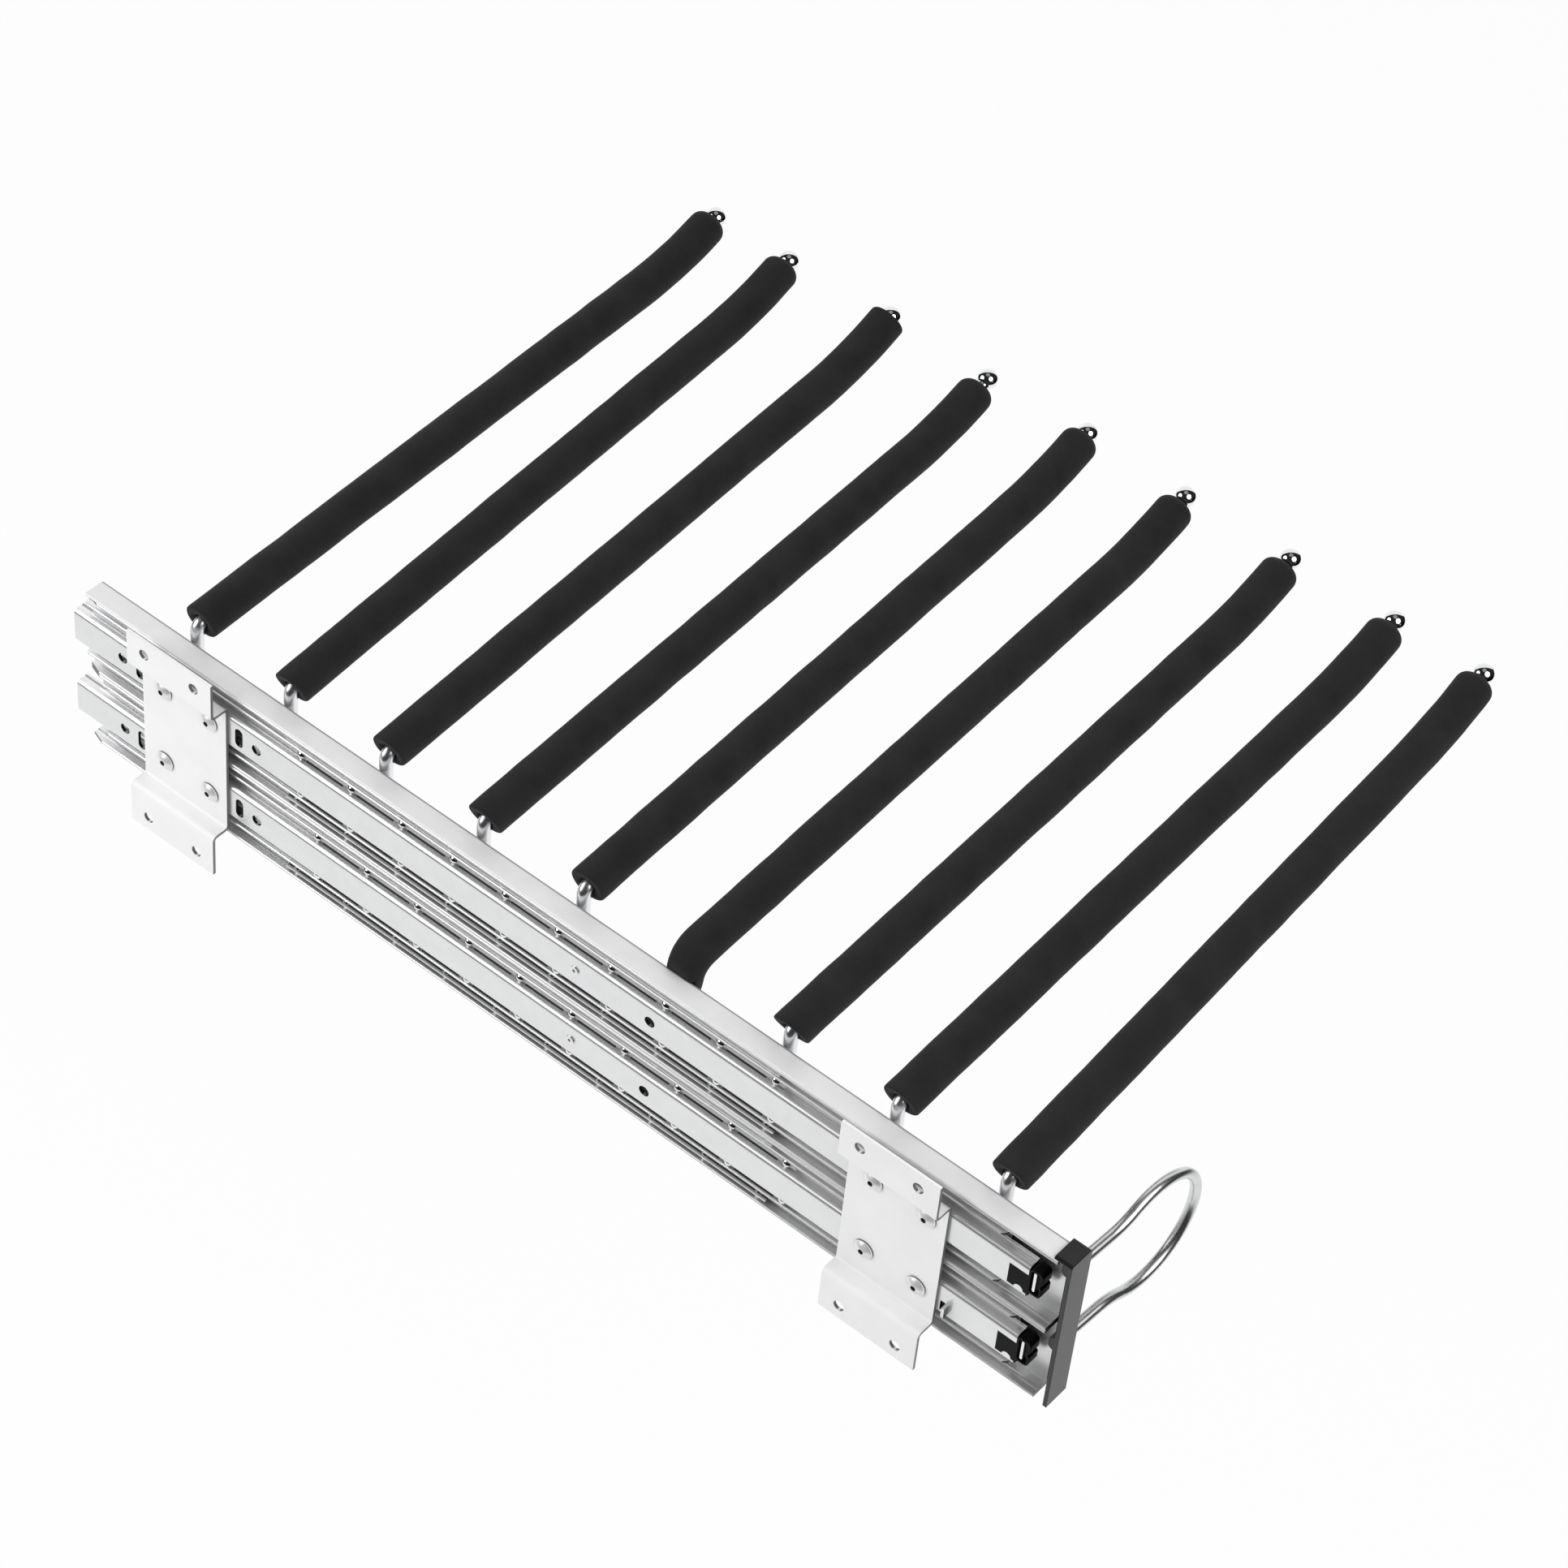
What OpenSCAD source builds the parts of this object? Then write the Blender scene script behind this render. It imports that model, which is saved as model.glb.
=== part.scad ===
// Pull out trouser rack: nine padded arms on a carriage that runs on two stacked ball slides.
// Origin: centre of the rear bracket's four screw holes, on the face that meets the cabinet side.
// +X is the way the rack pulls out, +Y points away from the cabinet side, +Z is up.

/* [Brackets] */
// width of a bracket along the slides
bracket_width = 40.5; // [38:0.5:44]
// distance between the screw holes along the slides
hole_spacing_x = 23.8; // [20:0.1:28]
// distance between the upper and the lower screw holes
hole_spacing_z = 81.5; // [80:0.1:84]
// diameter of a screw hole in a bracket's tabs
hole_diameter = 4.3; // [3.5:0.1:5.5]
// thickness of the bracket sheet
bracket_sheet = 1.2; // [1:0.1:1.5]
// distance from the cabinet side to the back of the fixed rails
bracket_standoff = 8.4; // [8:0.1:12]
// height of a bracket's raised middle plate
raised_height = 60.7; // [58:0.1:63]
// height of the raised plate's middle above the middle of the holes
raised_rise = 1.1; // [0.5:0.1:1.5]
// distance from the lower holes to the bracket's lower edge
lower_margin = 5.9; // [5:0.1:8]
// distance from the upper holes to the bracket's upper edge
upper_margin = 6.6; // [5:0.1:8]
// inner radius of the bends in a bracket
bracket_bend = 1; // [0.6:0.1:1.3]

/* [Slides] */
// distance between the middles of the two stacked slides
slide_pitch = 35.2; // [35:0.1:36]
// height of the slide pair's middle above the middle of the holes
slide_rise = 2.35; // [1.8:0.05:2.8]
// length of a fixed rail
rail_length = 427.3; // [425:0.1:450]
// distance from the rear bracket's centre back to the rails' rear ends
rail_overhang = 55.2; // [50:0.1:56]
// distance from the front bracket's centre to the rails' front ends
front_overhang = 52.1; // [50:0.1:56]
// thickness of the rail sheet
rail_sheet = 1.2; // [1:0.05:1.3]
// half of the height of a fixed rail
rail_half = 7.7; // [7.5:0.05:8]
// depth of a fixed rail's flanges
rail_depth = 5.3; // [5:0.1:5.8]
// outer radius of a fixed rail's bends
rail_bend = 1.9; // [1.5:0.1:2]
// outer radius of a middle rail's bends
middle_bend = 1.5; // [1.4:0.1:2]
// outer radius of an outer rail's bends
outer_bend = 1.6; // [1.4:0.1:2]
// diameter of a slide's balls
ball_diameter = 4; // [3.6:0.1:4.2]
// play round each ball in its race
ball_play = 0.06; // [0.02:0.01:0.08]
// depth of the races that the inner balls run in
inner_race_depth = 0.25; // [0.15:0.05:0.3]
// depth of the races that the outer balls run in
outer_race_depth = 0.2; // [0.1:0.05:0.25]
// distance from a fixed rail's back to the inner balls' centres
inner_ball_depth = 3.4; // [3.2:0.1:3.6]
// distance from a fixed rail's back to the outer balls' centres
outer_ball_depth = 3.9; // [3.6:0.1:4.2]
// gap between the webs that slide past each other
running_gap = 0.3; // [0.25:0.05:0.4]
// depth at which a middle rail's lips begin
middle_lip_depth = 1.6; // [1.4:0.1:1.8]
// depth at which an outer rail's lips begin
outer_lip_depth = 0.6; // [0.4:0.1:0.8]
// how much shorter a middle rail is than a fixed rail
middle_shortfall = 15.1; // [13:0.1:20]
// distance from the fixed rail's rear end to the upper middle rail's rear end
upper_setback = 3.2; // [2:0.1:5]
// distance from the fixed rail's rear end to the lower middle rail's rear end
lower_setback = 11.7; // [5:0.1:12]
// radius of the middle rail's rounded lip ends
lip_corner = 2.2; // [1:0.1:2.5]
// distance from the fixed rail's rear end to the outer rails' and the carriage's rear end
carriage_setback = 5.2; // [4:0.1:8]
// length cut away at the rear ends of an outer rail's lips
lip_cut_length = 6; // [3:0.1:8]
// depth cut away at the rear ends of an outer rail's lips
lip_cut_depth = 2; // [1:0.1:2.2]

/* [Ball cages] */
// thickness of the cage strip
cage_sheet = 0.3; // [0.25:0.05:0.4]
// distance between the balls along a cage
cage_pitch = 23.6; // [22:0.1:24]
// number of balls along each side of a cage
cage_balls = 10; // [8:1:10]
// play of a ball in its cage pocket
pocket_play = 0.1; // [0.05:0.01:0.15]
// distance from a cage's end balls to its ends
cage_margin = 4; // [3.5:0.1:5]
// distance from the fixed rail's rear end to the upper inner cage's first ball
upper_cage_start = 107.9; // [100:0.1:110]
// distance from the fixed rail's rear end to the lower inner cage's first ball
lower_cage_start = 116; // [105:0.1:118]
// distance from the fixed rail's rear end to the outer cages' first balls
outer_cage_start = 105.9; // [100:0.1:108]
// depth at which an inner cage's flanges begin beside its balls
cage_mouth_depth = 1.9; // [1.8:0.05:2]
// depth at which the lips between an inner cage's balls begin
cage_lip_depth = 1.3; // [1.2:0.05:1.5]
// gap between each ball pocket and the lips beside it
cage_lip_gap = 1.2; // [0.8:0.1:2]
// width of an outer cage's strip beyond the ball pockets
strip_border = 0.6; // [0.5:0.05:0.7]

/* [Slide details] */
// distance from a bracket's centre to the middle of its rivets
rivet_offset = 1.2; // [0:0.1:1.5]
// half of the distance between a bracket's rivets
rivet_half_spacing = 11; // [10:0.1:12]
// diameter of a bracket rivet's shank
rivet_shank = 4; // [3.5:0.1:4.5]
// diameter of a bracket rivet's head
rivet_head = 7.8; // [7:0.1:8.5]
// height of a bracket rivet's head
rivet_head_height = 2; // [1.8:0.1:2.4]
// thickness of a bracket rivet's flange
rivet_flange = 0.5; // [0.4:0.1:0.6]
// diameter of the hole in a bracket rivet
rivet_bore = 2.1; // [1.5:0.1:2.5]
// height of the rolled end of a bracket rivet behind the rail
rivet_tail_height = 1.1; // [0.8:0.1:1.4]
// diameter of the rolled end of a bracket rivet
rivet_tail = 5.6; // [5:0.1:6]
// half of the distance between the round holes beside the rear bracket
round_half_spacing = 32.5; // [30:0.1:34]
// diameter of the round holes in a fixed rail
round_diameter = 4.3; // [3.5:0.1:4.5]
// half of the distance between the upright slots beside the rear bracket
slot_half_spacing = 24.1; // [23:0.1:25]
// width of an upright slot
slot_width = 3.6; // [3:0.1:4]
// height of an upright slot
slot_height = 8.5; // [7:0.1:9]
// distance from the rear bracket's centre to the single round hole
single_hole_x = 213.7; // [210:0.1:220]
// distance from the rear bracket's centre to the stop rivet
stop_rivet_x = 180.7; // [170:0.1:190]
// diameter of a stop rivet's head
stop_rivet_head = 3.6; // [3:0.1:4]
// height of a stop rivet's head
stop_rivet_height = 0.5; // [0.4:0.1:0.7]
// diameter of a stop rivet's shank
stop_rivet_shank = 2.4; // [2:0.1:2.6]
// diameter of the hollow in a stop rivet's head
stop_rivet_hollow = 1.4; // [1:0.1:1.6]
// distance from the front bracket's edge to the lug on the lower fixed rail
lug_gap = 1.2; // [0.8:0.1:2]
// length of the window that the lug is bent out of
lug_window = 3.4; // [3:0.1:4]
// height of the lug
lug_height = 4.6; // [4:0.1:5]
// distance that the lug stands out towards the cabinet side
lug_reach = 2.4; // [2:0.1:3]
// height of the lug's middle below the slide's middle
lug_drop = 3; // [2:0.1:3.2]
// length of the slanted cut at a fixed rail's lower rear corner
rear_cut_length = 6.5; // [4:0.1:8]
// height of the slanted cut at a fixed rail's lower rear corner
rear_cut_height = 1.1; // [0.6:0.1:1.2]

/* [Latches] */
// length of the notch in a fixed rail's front end
notch_length = 7.6; // [7:0.1:9]
// height of the notch above the slide's middle
notch_top = 3.9; // [3.5:0.1:4.2]
// depth of the notch below the slide's middle
notch_bottom = 5.6; // [5:0.1:5.7]
// radius of the half round tab on the notch's lower edge
notch_tab_radius = 1.85; // [1.5:0.05:2]
// distance from the notch's rear edge to the half round tab's middle
notch_tab_x = 4.6; // [4:0.1:5]
// gap between a latch and the rail round it
latch_gap = 0.15; // [0.1:0.05:0.25]
// length of a latch body behind the rail's web
latch_body_length = 14; // [12:0.1:18]
// half of the height of a latch body
latch_body_half = 5.4; // [5:0.1:5.6]
// depth of a latch
latch_depth = 4.9; // [4.5:0.1:5]
// width of a latch head
head_width = 5.4; // [5:0.1:5.8]
// height of a latch head's top above the slide's middle
head_top = 7.8; // [7.5:0.1:8]
// distance from the slide's middle down to a latch head's lower end
head_bottom = 4.1; // [3.8:0.1:4.5]
// radius of a latch head's rounded lobes
head_lobe = 1.8; // [1.6:0.05:1.9]
// radius of the waist in a latch head's front edge
head_waist = 1.4; // [1:0.1:1.6]
// width of the rim round a latch head's recess
head_rim = 0.8; // [0.7:0.05:0.9]
// depth of a latch head's recess
head_recess = 1.2; // [0.8:0.1:1.6]
// thickness of a latch's leaf spring
leaf_sheet = 1; // [0.8:0.05:1.1]
// height of a latch's leaf spring
leaf_height = 9; // [8.5:0.1:9.2]
// distance that the leaf spring stays below the face of the rim
leaf_sink = 0.3; // [0.2:0.1:0.6]
// distance that the leaf spring reaches into a latch head
leaf_seat = 2; // [1.5:0.1:2.4]

/* [Carriage] */
// thickness of the carriage profile
profile_sheet = 1.2; // [1:0.05:1.3]
// outer radius of the bend along the carriage profile's top
profile_bend = 1.8; // [1.5:0.1:2.5]
// how much longer the carriage profile and the outer rails are than a fixed rail
carriage_extra = 3.9; // [3:0.1:8]
// distance that the back plate reaches below the lower slide
plate_drop = 0.1; // [0:0.05:0.3]
// number of rivets that hold each outer rail to the back plate
back_rivets = 4; // [3:1:5]
// number of arm bays from one back rivet to the next
back_rivet_step = 2; // [1:1:2]
// diameter of a back rivet's head
back_rivet_head = 7; // [6:0.1:8]
// height of a back rivet's head
back_rivet_height = 1.6; // [1.2:0.1:2]
// diameter of a back rivet's shank
back_rivet_shank = 4; // [3.5:0.1:4.5]

/* [End cap] */
// thickness of the end cap's front plate
cap_plate = 1.5; // [1.4:0.1:2]
// distance from the outer rails' front ends to the inside of the cap's front plate
cap_room = 4.2; // [4:0.1:5]
// thickness of the hood over the carriage profile
hood_sheet = 1.1; // [1:0.1:1.5]
// distance that the hood reaches back over the carriage profile
hood_overlap = 1.4; // [1:0.1:3]
// radius of the end cap's upper corners
cap_corner = 1; // [0.8:0.1:1.2]
// depth at which the end cap begins
cap_lip_depth = 0.5; // [0.2:0.1:0.6]
// thickness of the end cap's wall behind the back plate
cap_back_wall = 1; // [0.9:0.1:1.5]
// distance from a handle socket's bore to the socket's outside
socket_wall = 1.1; // [0.9:0.1:1.5]
// depth of a handle socket
socket_depth = 6; // [5:0.1:7]
// gap between the handle's sockets and the carriage profile's front end
socket_gap = 0.1; // [0.05:0.05:0.2]

/* [Handle] */
// diameter of the handle wire
handle_wire = 4; // [3.5:0.1:4.4]
// half of the distance between the handle's legs
handle_neck = 18.7; // [17:0.1:20]
// half of the handle's greatest width
handle_half = 23.8; // [22:0.1:26]
// length of the straight part of a handle leg beyond the end cap
handle_straight = 14.5; // [8:0.1:20]
// length of the S curve in a handle leg
handle_curve = 22; // [18:0.1:26]
// angle that the handle leans forward
handle_lean = 3; // [0:0.5:4]
// slight swelling where a leg's two curves meet
wire_swell = 0.04; // [0.02:0.01:0.1]
// height of the handle's middle above the slide pair's middle
handle_rise = 10.5; // [9:0.1:12]

/* [Arms] */
// distance from the carriage profile's rear end to the first arm
arm_rear_margin = 43.2; // [40:0.1:46]
// distance from the last arm to the carriage profile's front end
arm_front_margin = 29.6; // [26:0.1:34]
// diameter of an arm's rod
rod_diameter = 5; // [4.5:0.1:5.5]
// radius of the bend at an arm's foot, to the middle of the rod
rod_bend = 3.2; // [3.2:0.1:4.5]
// slight swelling where a rod's foot bend ends
rod_swell = 0.02; // [0.01:0.01:0.05]
// height of the rod's middle above the carriage profile, at the end of the foot bend
rod_rise = 5.95; // [5.5:0.05:7]
// angle that an arm climbs
arm_slope = 3.9; // [3:0.1:6]
// length of an arm's straight part
arm_straight = 226.3; // [200:0.1:240]
// radius of the curve at an arm's tip
tip_radius = 139; // [100:1:160]
// angle that an arm's tip turns up
tip_angle = 18.3; // [18.2:0.1:20]
// diameter of the ball at an arm's tip
tip_ball = 7.8; // [6.5:0.1:8]
// length of an arm's leg behind the back plate
leg_length = 52; // [45:1:55]
// radius of the weld beads beside the legs
bead_radius = 1.3; // [1:0.1:1.5]
// length of a weld bead
bead_length = 8; // [6:0.5:10]
// sideways angle of each arm as it is bent, from the rear to the front
arm_yaws = [-0.6, 1.3, 0.8, 0.3, 0.4, 0.2, -0.1, -0.1, 1.4];
// extra length of each arm's straight part, from the rear to the front
arm_extras = [0, 0, 2, 0, 2, 0, 0, 0, 0];

/* [Foam sleeves] */
// outer diameter of a foam sleeve
sleeve_diameter = 14.4; // [13:0.1:15]
// gap between a foam sleeve and the rod
sleeve_gap = 0.15; // [0.1:0.05:0.25]
// distance from each leg's middle out to its sleeve's foot end, from the rear to the front
sleeve_starts = [0.5, -2.4, -0.8, -2.4, 0, 0, -3.8, -1.4, -1.8];
// angle that each sleeve follows its arm's curve, from the rear to the front
sleeve_sweeps = [17.7, 17.5, 17.7, 16.6, 17.7, 16.9, 16.9, 17.2, 17.3];
// distance from the sixth arm's bend down to the foot end of its sleeve
slid_sleeve_drop = 4; // [2:0.1:5]
// extra radius of the sixth sleeve where it turns down
elbow_swell = 0.05; // [0.02:0.01:0.2]
// gap between a sleeve that has slid back and the carriage profile
slid_sleeve_gap = 0.3; // [0.2:0.1:0.5]

/* [Hidden] */
$fn = 48;
overrun = 1;
slide_middle = slide_rise;
upper_z = slide_middle + slide_pitch / 2;
lower_z = slide_middle - slide_pitch / 2;
rail_start = -rail_overhang;
rail_end = rail_start + rail_length;
bracket_pitch = rail_length - rail_overhang - front_overhang;
middle_length = rail_length - middle_shortfall;
carriage_length = rail_length + carriage_extra;
race_radius = ball_diameter / 2 + ball_play;
inner_ball_w = rail_half - inner_race_depth + race_radius;
middle_inner = inner_ball_w + race_radius - inner_race_depth;
middle_half = middle_inner + rail_sheet;
outer_ball_w = middle_half - outer_race_depth + race_radius;
outer_inner = outer_ball_w + race_radius - outer_race_depth;
outer_half = outer_inner + rail_sheet;
cage_web_depth = rail_depth + running_gap;
middle_web_depth = cage_web_depth + cage_sheet + running_gap;
middle_back = middle_web_depth + rail_sheet;
outer_web_depth = middle_back + running_gap;
outer_back = outer_web_depth + rail_sheet;
plate_front_y = bracket_standoff + outer_back;
plate_back_y = plate_front_y + profile_sheet;
profile_front_y = bracket_standoff + outer_lip_depth;
profile_top = upper_z + outer_half + profile_sheet;
plate_bottom = lower_z - outer_half - plate_drop;
carriage_start = rail_start + carriage_setback;
carriage_end = carriage_start + carriage_length;
pocket_radius = ball_diameter / 2 + pocket_play;
cage_span = (cage_balls - 1) * cage_pitch;
cap_inside = carriage_end + cap_room;
cap_front = cap_inside + cap_plate;
cap_near_y = bracket_standoff + cap_lip_depth;
cap_far_y = plate_back_y + cap_back_wall;
cap_top = profile_top + hood_sheet;
socket_radius = handle_wire / 2 + socket_wall;
handle_x = cap_front - socket_radius;
handle_z = slide_middle + handle_rise;
handle_turn = 2 * atan((handle_half - handle_neck) / handle_curve);
handle_turn_radius = handle_curve / 2 / sin(handle_turn);
leg_y = plate_back_y + rod_diameter / 2;
rod_turn = 90 - arm_slope;
foot_z = profile_top + rod_rise - rod_bend * cos(arm_slope);
arm_count = len(arm_yaws);
arm_pitch = (carriage_length - arm_rear_margin - arm_front_margin) / (arm_count - 1);
sleeve_radius = sleeve_diameter / 2;
bore_radius = rod_diameter / 2 + sleeve_gap;

// Extrudes an outline drawn in Y and Z along X.
module along_x(start, length) {
    translate([start, 0, 0]) rotate([90, 0, 90]) linear_extrude(length) children();
}

// Extrudes an outline drawn in X and Z along Y, from the given Y on.
module along_y(start, length) {
    translate([0, start + length, 0]) rotate([90, 0, 0]) linear_extrude(length) children();
}

// Places a slide's section: X as in the part, Y from the fixed rail's back, Z from its middle.
module at_slide(z) {
    translate([0, bracket_standoff, z]) children();
}

// A rectangle with its two corners at the low end rounded.
module rounded_web(front, back, half, radius) {
    translate([front + radius, -half]) square([back - front - radius, 2 * half]);
    translate([front, radius - half]) square([2 * radius, 2 * (half - radius)]);
    for (side = [-1, 1]) translate([front + radius, side * (half - radius)]) circle(radius);
}

// A channel with its web at zero and its flanges reaching to the given depth.
module channel(depth, half, sheet, radius) {
    difference() {
        rounded_web(0, depth, half, radius);
        rounded_web(sheet, depth + overrun, half - sheet, radius - sheet);
    }
}

module race_pair(depth, w, radius) {
    for (side = [-1, 1]) translate([depth, side * w]) circle(radius);
}

// Brackets

module quarter_bend(y, z, quadrant) {
    reach = bracket_bend + bracket_sheet;
    translate([y, z]) rotate(quadrant * 90) intersection() {
        difference() {
            circle(reach);
            circle(bracket_bend);
        }
        square(reach);
    }
}

// One half of the bracket's outline: the middle plate's half, the web and one tab.
module bracket_half(web_z, edge_z) {
    reach = bracket_bend + bracket_sheet;
    tab_z = web_z - bracket_sheet + reach;
    plate_z = web_z - reach;
    translate([0, tab_z]) square([bracket_sheet, edge_z - tab_z]);
    quarter_bend(reach, tab_z, 2);
    translate([reach, web_z - bracket_sheet])
        square([bracket_standoff - 2 * reach, bracket_sheet]);
    quarter_bend(bracket_standoff - reach, plate_z, 0);
    translate([bracket_standoff - bracket_sheet, 0]) square([bracket_sheet, plate_z]);
}

module bracket_outline() {
    upper_web = raised_height / 2;
    upper_edge = hole_spacing_z / 2 + upper_margin - raised_rise;
    lower_edge = hole_spacing_z / 2 + lower_margin + raised_rise;
    translate([0, raised_rise]) {
        bracket_half(upper_web, upper_edge);
        mirror([0, 1]) bracket_half(upper_web, lower_edge);
    }
}

module rivet_spots() {
    for (side = [-1, 1])
        for (z = [lower_z, upper_z])
            translate([rivet_offset + side * rivet_half_spacing, bracket_standoff, z]) children();
}

module bracket(x) {
    translate([x, 0, 0]) difference() {
        along_x(-bracket_width / 2, bracket_width) bracket_outline();
        for (side_x = [-1, 1])
            for (side_z = [-1, 1])
                translate([side_x * hole_spacing_x / 2, -overrun, side_z * hole_spacing_z / 2])
                    rotate([-90, 0, 0])
                        cylinder(h = bracket_sheet + 2 * overrun, d = hole_diameter);
        rivet_spots() rotate([90, 0, 0])
            translate([0, 0, -overrun])
                cylinder(h = bracket_sheet + 2 * overrun, d = rivet_shank);
    }
}

// A hollow rivet: domed head on the cabinet side, rolled end behind the rail's web.
module bracket_rivet() {
    dome_rise = rivet_head_height - rivet_flange;
    dome_foot = rivet_head / 2 - rivet_flange;
    dome_radius = (dome_foot * dome_foot + dome_rise * dome_rise) / (2 * dome_rise);
    stack = bracket_sheet + rail_sheet;
    translate([0, rail_sheet, 0]) rotate([90, 0, 0]) difference() {
        union() {
            cylinder(h = stack, d = rivet_shank);
            translate([0, 0, -rivet_tail_height]) cylinder(h = rivet_tail_height, d = rivet_tail);
            translate([0, 0, stack]) cylinder(h = rivet_flange, d = rivet_head);
            translate([0, 0, stack + rivet_flange]) intersection() {
                translate([0, 0, dome_rise - dome_radius]) sphere(dome_radius);
                cylinder(h = dome_rise, r = dome_foot);
            }
        }
        translate([0, 0, -rivet_tail_height - overrun])
            cylinder(h = stack + rivet_head_height + rivet_tail_height + 2 * overrun,
                d = rivet_bore);
    }
}

module bracket_rivets(x) {
    color([0.8, 0.8, 0.82]) translate([x, 0, 0]) rivet_spots() bracket_rivet();
}

// Fixed rails

module fixed_section() {
    bulge = race_radius + rail_sheet;
    difference() {
        union() {
            channel(rail_depth, rail_half, rail_sheet, rail_bend);
            intersection() {
                race_pair(inner_ball_depth, inner_ball_w, bulge);
                translate([rail_sheet, -rail_half])
                    square([rail_depth - rail_sheet, 2 * rail_half]);
            }
        }
        race_pair(inner_ball_depth, inner_ball_w, race_radius);
    }
}

module notch_outline(inset) {
    low = inset - notch_bottom;
    high = notch_top - inset;
    difference() {
        translate([rail_end - notch_length + inset, low])
            square([notch_length - inset + overrun, high - low]);
        translate([rail_end - notch_length + notch_tab_x, -notch_bottom])
            circle(notch_tab_radius + inset);
    }
}

module round_hole(x, diameter) {
    translate([x, 0]) circle(d = diameter);
}

module web_openings() {
    for (side = [-1, 1]) {
        round_hole(rivet_offset + side * round_half_spacing, round_diameter);
        for (x = [0, bracket_pitch])
            round_hole(x + rivet_offset + side * rivet_half_spacing, rivet_shank);
        translate([rivet_offset + side * slot_half_spacing, 0]) {
            for (end = [-1, 1])
                translate([0, end * (slot_height - slot_width) / 2]) circle(d = slot_width);
            square([slot_width, slot_height - slot_width], center = true);
        }
    }
    round_hole(single_hole_x, round_diameter);
    round_hole(stop_rivet_x, stop_rivet_shank);
}

module fixed_rail(z) {
    color([0.82, 0.83, 0.85]) at_slide(z) difference() {
        along_x(rail_start, rail_length) fixed_section();
        along_y(-overrun, rail_sheet + overrun + running_gap) {
            web_openings();
            notch_outline(0);
        }
        along_y(-overrun, rail_depth + 2 * overrun) polygon([
            [rail_start - overrun, -rail_half + rear_cut_height],
            [rail_start, -rail_half + rear_cut_height],
            [rail_start + rear_cut_length, -rail_half],
            [rail_start + rear_cut_length, -rail_half - overrun],
            [rail_start - overrun, -rail_half - overrun]]);
    }
}

module upper_fixed_rail() {
    fixed_rail(upper_z);
}

// The lower rail also has a lug, bent out of its web beside the front bracket.
module lower_fixed_rail() {
    lug_x = bracket_pitch + bracket_width / 2 + lug_gap;
    color([0.82, 0.83, 0.85]) {
        difference() {
            fixed_rail(lower_z);
            at_slide(lower_z) along_y(-overrun, rail_sheet + overrun + running_gap)
                translate([lug_x, -lug_drop - lug_height / 2]) square([lug_window, lug_height]);
        }
        at_slide(lower_z) translate([lug_x + lug_window - rail_sheet, -lug_reach,
            -lug_drop - lug_height / 2])
            cube([rail_sheet, lug_reach + rail_sheet, lug_height]);
    }
}

module stop_rivets() {
    color([0.86, 0.86, 0.88]) for (z = [lower_z, upper_z])
        at_slide(z) translate([stop_rivet_x, rail_sheet + stop_rivet_height, 0])
            rotate([90, 0, 0]) difference() {
                union() {
                    cylinder(h = stop_rivet_height, d = stop_rivet_head);
                    cylinder(h = rail_sheet + stop_rivet_height, d = stop_rivet_shank);
                    translate([0, 0, rail_sheet + stop_rivet_height])
                        cylinder(h = stop_rivet_height, d = stop_rivet_head);
                }
                translate([0, 0, rail_sheet + stop_rivet_height])
                    cylinder(h = stop_rivet_height + overrun, d = stop_rivet_hollow);
            }
}

// Latches

// Outline of a latch's head, with every edge moved in by the inset.
module head_outline(inset) {
    low = rail_end + latch_gap;
    mid = low + head_width / 2;
    lobe = head_lobe - inset;
    waist_z = (head_top - head_bottom) / 2;
    difference() {
        union() {
            translate([low + inset, -head_bottom + head_lobe])
                square([head_width - 2 * inset, head_top + head_bottom - 2 * head_lobe]);
            translate([low + head_lobe, inset - head_bottom])
                square([head_width - 2 * head_lobe, head_top + head_bottom - 2 * inset]);
            for (x = [low + head_lobe, low + head_width - head_lobe])
                for (z = [head_lobe - head_bottom, head_top - head_lobe])
                    translate([x, z]) circle(lobe);
        }
        translate([mid + head_width / 2 + head_waist / 2, waist_z]) circle(head_waist + inset);
    }
}

module leaf_outline(play) {
    mid = rail_end + latch_gap + head_width / 2 - leaf_sheet / 2;
    waist_z = (head_top - head_bottom) / 2;
    translate([mid - leaf_sheet / 2 - play, waist_z - (leaf_height - leaf_sheet) / 2])
        square([leaf_sheet + 2 * play, leaf_height - leaf_sheet]);
    for (side = [-1, 1])
        translate([mid, waist_z + side * (leaf_height - leaf_sheet) / 2])
            circle(leaf_sheet / 2 + play);
}

module latch_lever(z) {
    back_x = rail_end - latch_body_length;
    color([0.09, 0.09, 0.1]) at_slide(z) difference() {
        union() {
            along_y(0, rail_sheet) notch_outline(latch_gap);
            along_y(rail_sheet, latch_depth - rail_sheet)
                translate([back_x, -latch_body_half])
                    square([latch_body_length + latch_gap, 2 * latch_body_half]);
            along_y(0, latch_depth) head_outline(0);
        }
        along_y(-overrun, head_recess + overrun) head_outline(head_rim);
        along_y(head_recess, leaf_seat) leaf_outline(0);
    }
}

module latch_spring(z) {
    color([0.9, 0.9, 0.92]) at_slide(z)
        along_y(leaf_sink, head_recess + leaf_seat - leaf_sink) leaf_outline(0);
}

// Ball cages and balls

module ball_spots(start, depth, w) {
    for (k = [0 : cage_balls - 1])
        for (side = [-1, 1])
            translate([start + k * cage_pitch, depth, side * w]) children();
}

module balls(z, start, depth, w) {
    color([0.9, 0.9, 0.92]) at_slide(z)
        ball_spots(rail_start + start, depth, w) sphere(d = ball_diameter);
}

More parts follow.
